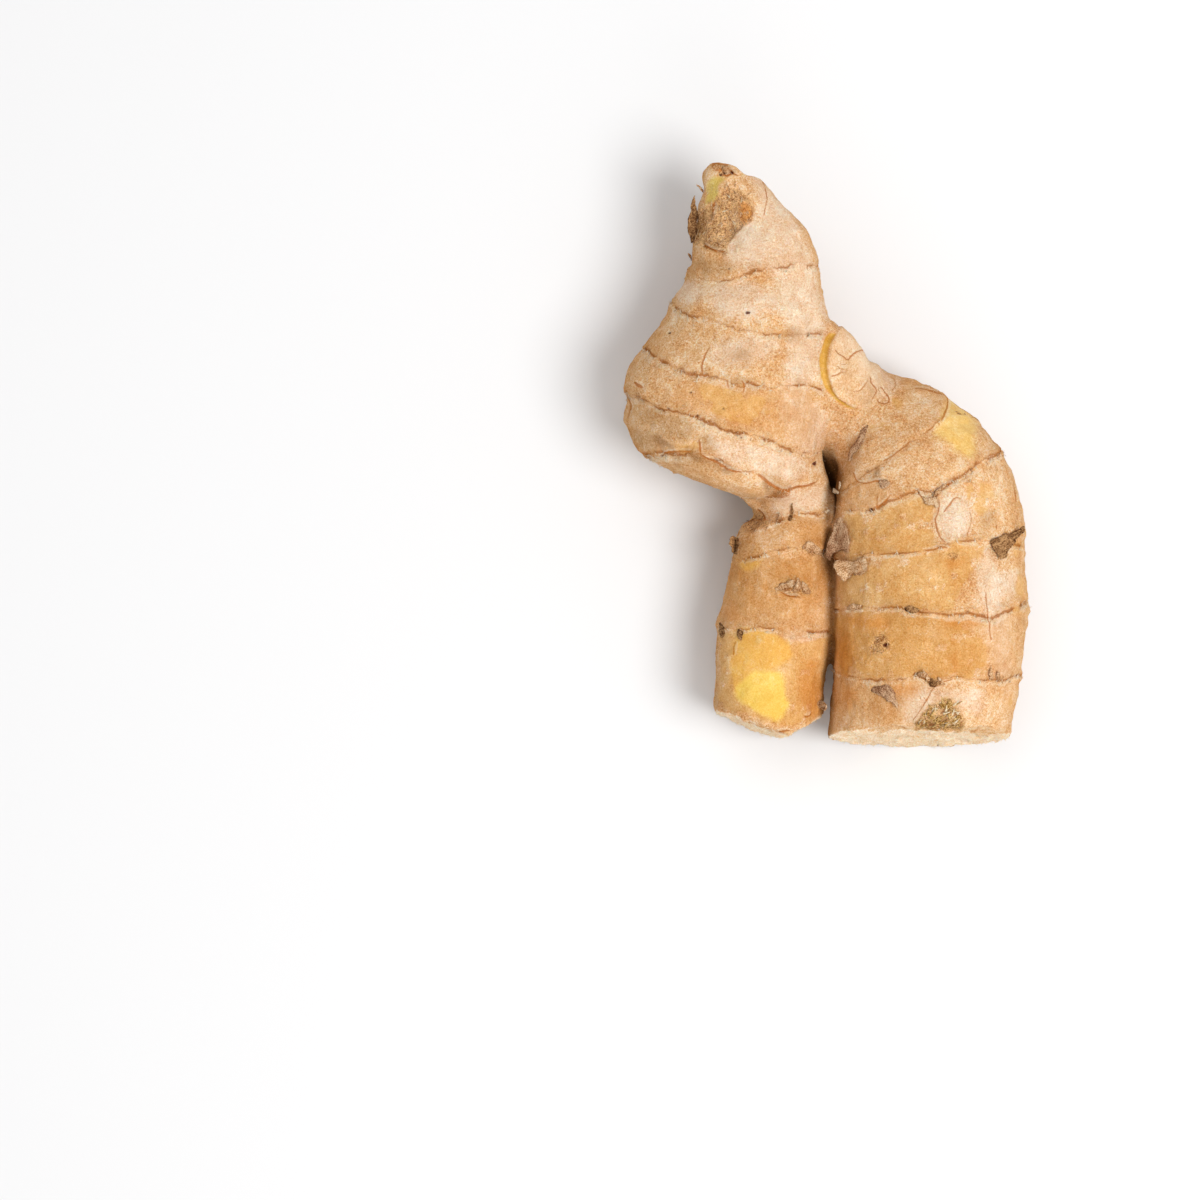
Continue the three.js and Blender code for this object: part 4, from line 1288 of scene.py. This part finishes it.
def shred_tree():
    """Grows one tapering, curling shred on each vertex: along "ahead", and curling towards "out"."""
    tree = bpy.data.node_groups.new("shreds", "GeometryNodeTree")
    tree.interface.new_socket("Geometry", in_out="INPUT", socket_type="NodeSocketGeometry")
    for name, kind in (("Length", "Float"), ("Width", "Float"), ("Curl", "Float"), ("Seed", "Int")):
        tree.interface.new_socket(name, in_out="INPUT", socket_type="NodeSocket" + kind)
    tree.interface.new_socket("Tissue", in_out="INPUT", socket_type="NodeSocketMaterial")
    tree.interface.new_socket("Geometry", in_out="OUTPUT", socket_type="NodeSocketGeometry")
    given = add(tree, "NodeGroupInput").outputs

    settings = {"Vertices": 5, "Side Segments": 5, "Radius Top": 0.12, "Radius Bottom": 1.0, "Depth": 1.0}
    blade = add(tree, "GeometryNodeMeshCone", settings).outputs["Mesh"]
    spot = add(tree, "GeometryNodeInputPosition").outputs[0]
    parts = add(tree, "ShaderNodeSeparateXYZ", links={0: spot}).outputs
    values = {key: parts[key] for key in "XYZ"} | {key: given[key] for key in ("Length", "Width", "Curl")}
    for name, operation, *terms in SHRED_SUMS:
        settings = {"operation": operation} | {i: term for i, term in enumerate(terms) if term not in values}
        links = {i: values[term] for i, term in enumerate(terms) if term in values}
        values[name] = add(tree, "ShaderNodeMath", settings, links).outputs[0]
    links = {0: values["side"], 1: values["up"], 2: values["far"]}
    shape = add(tree, "ShaderNodeCombineXYZ", links=links).outputs[0]
    shred = add(tree, "GeometryNodeSetPosition", links={"Geometry": blade, "Position": shape}).outputs[0]

    ahead = add(tree, "GeometryNodeInputNamedAttribute", {"data_type": "FLOAT_VECTOR", "Name": "ahead"})
    out = add(tree, "GeometryNodeInputNamedAttribute", {"data_type": "FLOAT_VECTOR", "Name": "out"})
    along_it = add(tree, "FunctionNodeAlignRotationToVector", {"axis": "Z"}, {"Vector": ahead.outputs[0]})
    links = {"Rotation": along_it.outputs[0], "Vector": out.outputs[0]}
    settings = {"axis": "Y", "pivot_axis": "Z"}
    upright = add(tree, "FunctionNodeAlignRotationToVector", settings, links).outputs[0]
    settings = {"data_type": "FLOAT_VECTOR", "Min": (0.6, 0.4, 0.45), "Max": (1.4, 1.3, 1.35)}
    size = add(tree, "FunctionNodeRandomValue", settings, {"Seed": given["Seed"]}).outputs[0]
    links = {"Points": given["Geometry"], "Instance": shred, "Rotation": upright, "Scale": size}
    grown = add(tree, "GeometryNodeInstanceOnPoints", links=links).outputs[0]
    real = add(tree, "GeometryNodeRealizeInstances", links={0: grown}).outputs[0]
    links = {"Geometry": real, "Material": given["Tissue"]}
    dressed = add(tree, "GeometryNodeSetMaterial", links=links).outputs[0]
    add(tree, "NodeGroupOutput", links={0: dressed})
    return tree


SHREDS = shred_tree()

# Each kind: tissue, slot, how many, length and width in millimetres, curl, how far each stands off the skin,
# how far each strays from its way, and how deep its foot sits.
SHRED_KINDS = {
    "ring_frills": ("tan", "dry_scale", 420, 0.9, 0.36, 0.3, 0.25, 0.8, 0.08),
    "pale_ring_frills": ("pale", "dry_scale", 520, 0.9, 0.36, 0.3, 0.25, 0.8, 0.08),
    "end_fibres": ("fibre", "fibre", 1600, 0.8, 0.14, 0.2, 0.5, 0.7, 0.1),
    "root_scar_strands": ("olive", "fibre", 150, 1.7, 0.8, -0.5, 0.35, 0.6, 0.15),
    "root_scar_tips": ("fibre", "fibre", 50, 1.2, 0.6, -0.4, 0.45, 0.6, 0.1),
    "bud_strands": ("tan", "fibre", 60, 1.6, 0.3, -0.3, 0.4, 0.6, 0.1),
    "tip_strands": ("tan", "fibre", 160, 1.9, 0.36, -0.35, 0.3, 0.5, 0.1),
    "tip_shreds": ("fibre", "fibre", 30, 1.4, 0.3, -0.35, 0.4, 0.5, 0.12),
    "skin_hairs": ("pale", "fibre", 1500, 0.7, 0.08, 0.3, 0.2, 1.5, 0.03),
}


def grow_shreds(name, seats, way, seed):
    tissue, slot, count, length, width, curl, stand, stray, foot = SHRED_KINDS[name]
    dice = np.random.default_rng(seed)
    seats = dice.choice(seats, min(count, len(seats)), replace=False)
    out = normals[seats]
    heading = unit(way[seats]) + stray * dice.normal(size=out.shape)
    heading = unit(heading - (heading * out).sum(1)[:, None] * out)
    heading = unit(heading + stand * out)
    mesh = bpy.data.meshes.new(name)
    mesh.from_pydata(((points[seats] - foot * out) * MM).tolist(), [], [])
    note(mesh, "out", out)
    note(mesh, "ahead", heading)
    seat = placed(name, mesh)
    growth = seat.modifiers.new("growth", "NODES")
    growth.node_group = SHREDS
    inputs = {"Length": length * MM, "Width": width * MM, "Curl": curl, "Seed": seed}
    inputs["Tissue"] = TISSUES[tissue]
    for socket in SHREDS.interface.items_tree:
        if socket.in_out == "INPUT" and socket.name in inputs:
            growth[socket.identifier] = inputs[socket.name]
    grown = as_modified(seat)
    seat.modifiers.remove(growth)
    seat.data = grown
    shade_smooth(grown)
    note(grown, "free", np.full(len(grown.vertices), 0.6))
    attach(seat, "root")


def near_places(places):
    """The points that are seen near any of some places."""
    near = [np.linalg.norm(seen - on_level(at), axis=1) < reach for at, reach in places]
    return facing & np.any(near, axis=0)


swirl = np.stack([crags(points / 6, seed) for seed in (61, 62, 63)], 1)
upward = np.tile([0.4, 0.9, 0.0], (len(points), 1)) + 0.5 * swirl
lies_high = points[:, 2] > 0.8
at_root_scar, at_tip, at_buds = near_places(ROOT_SCAR), near_places(TORN_TIP), near_places(BUDS)
seats = {
    "ring_frills": ((np.abs(ring_gap) < 0.3) & (ring_show > 0.3) & lies_high, ahead),
    "pale_ring_frills": ((np.abs(ring_gap - 0.6) < 0.4) & (ring_show > 0.3) & lies_high, -ahead),
    "end_fibres": ((fields["cut"] > 0.5) & lies_high, normals + swirl),
    "root_scar_strands": ((fields["scar"] > 0.5) & at_root_scar, upward),
    "root_scar_tips": ((fields["scar"] > 0.4) & at_root_scar, upward),
    "bud_strands": ((fields["scar"] > 0.0) & at_buds, ahead),
    "tip_strands": ((fields["scar"] > 0.0) & at_tip, upward),
    "tip_shreds": ((fields["scar"] > 0.3) & at_tip, upward),
    "skin_hairs": ((paper > 0.8) & lies_high, swirl),
}
for seed, (name, (wanted, way)) in enumerate(seats.items()):
    grow_shreds(name, np.flatnonzero(wanted), way, 71 + seed)
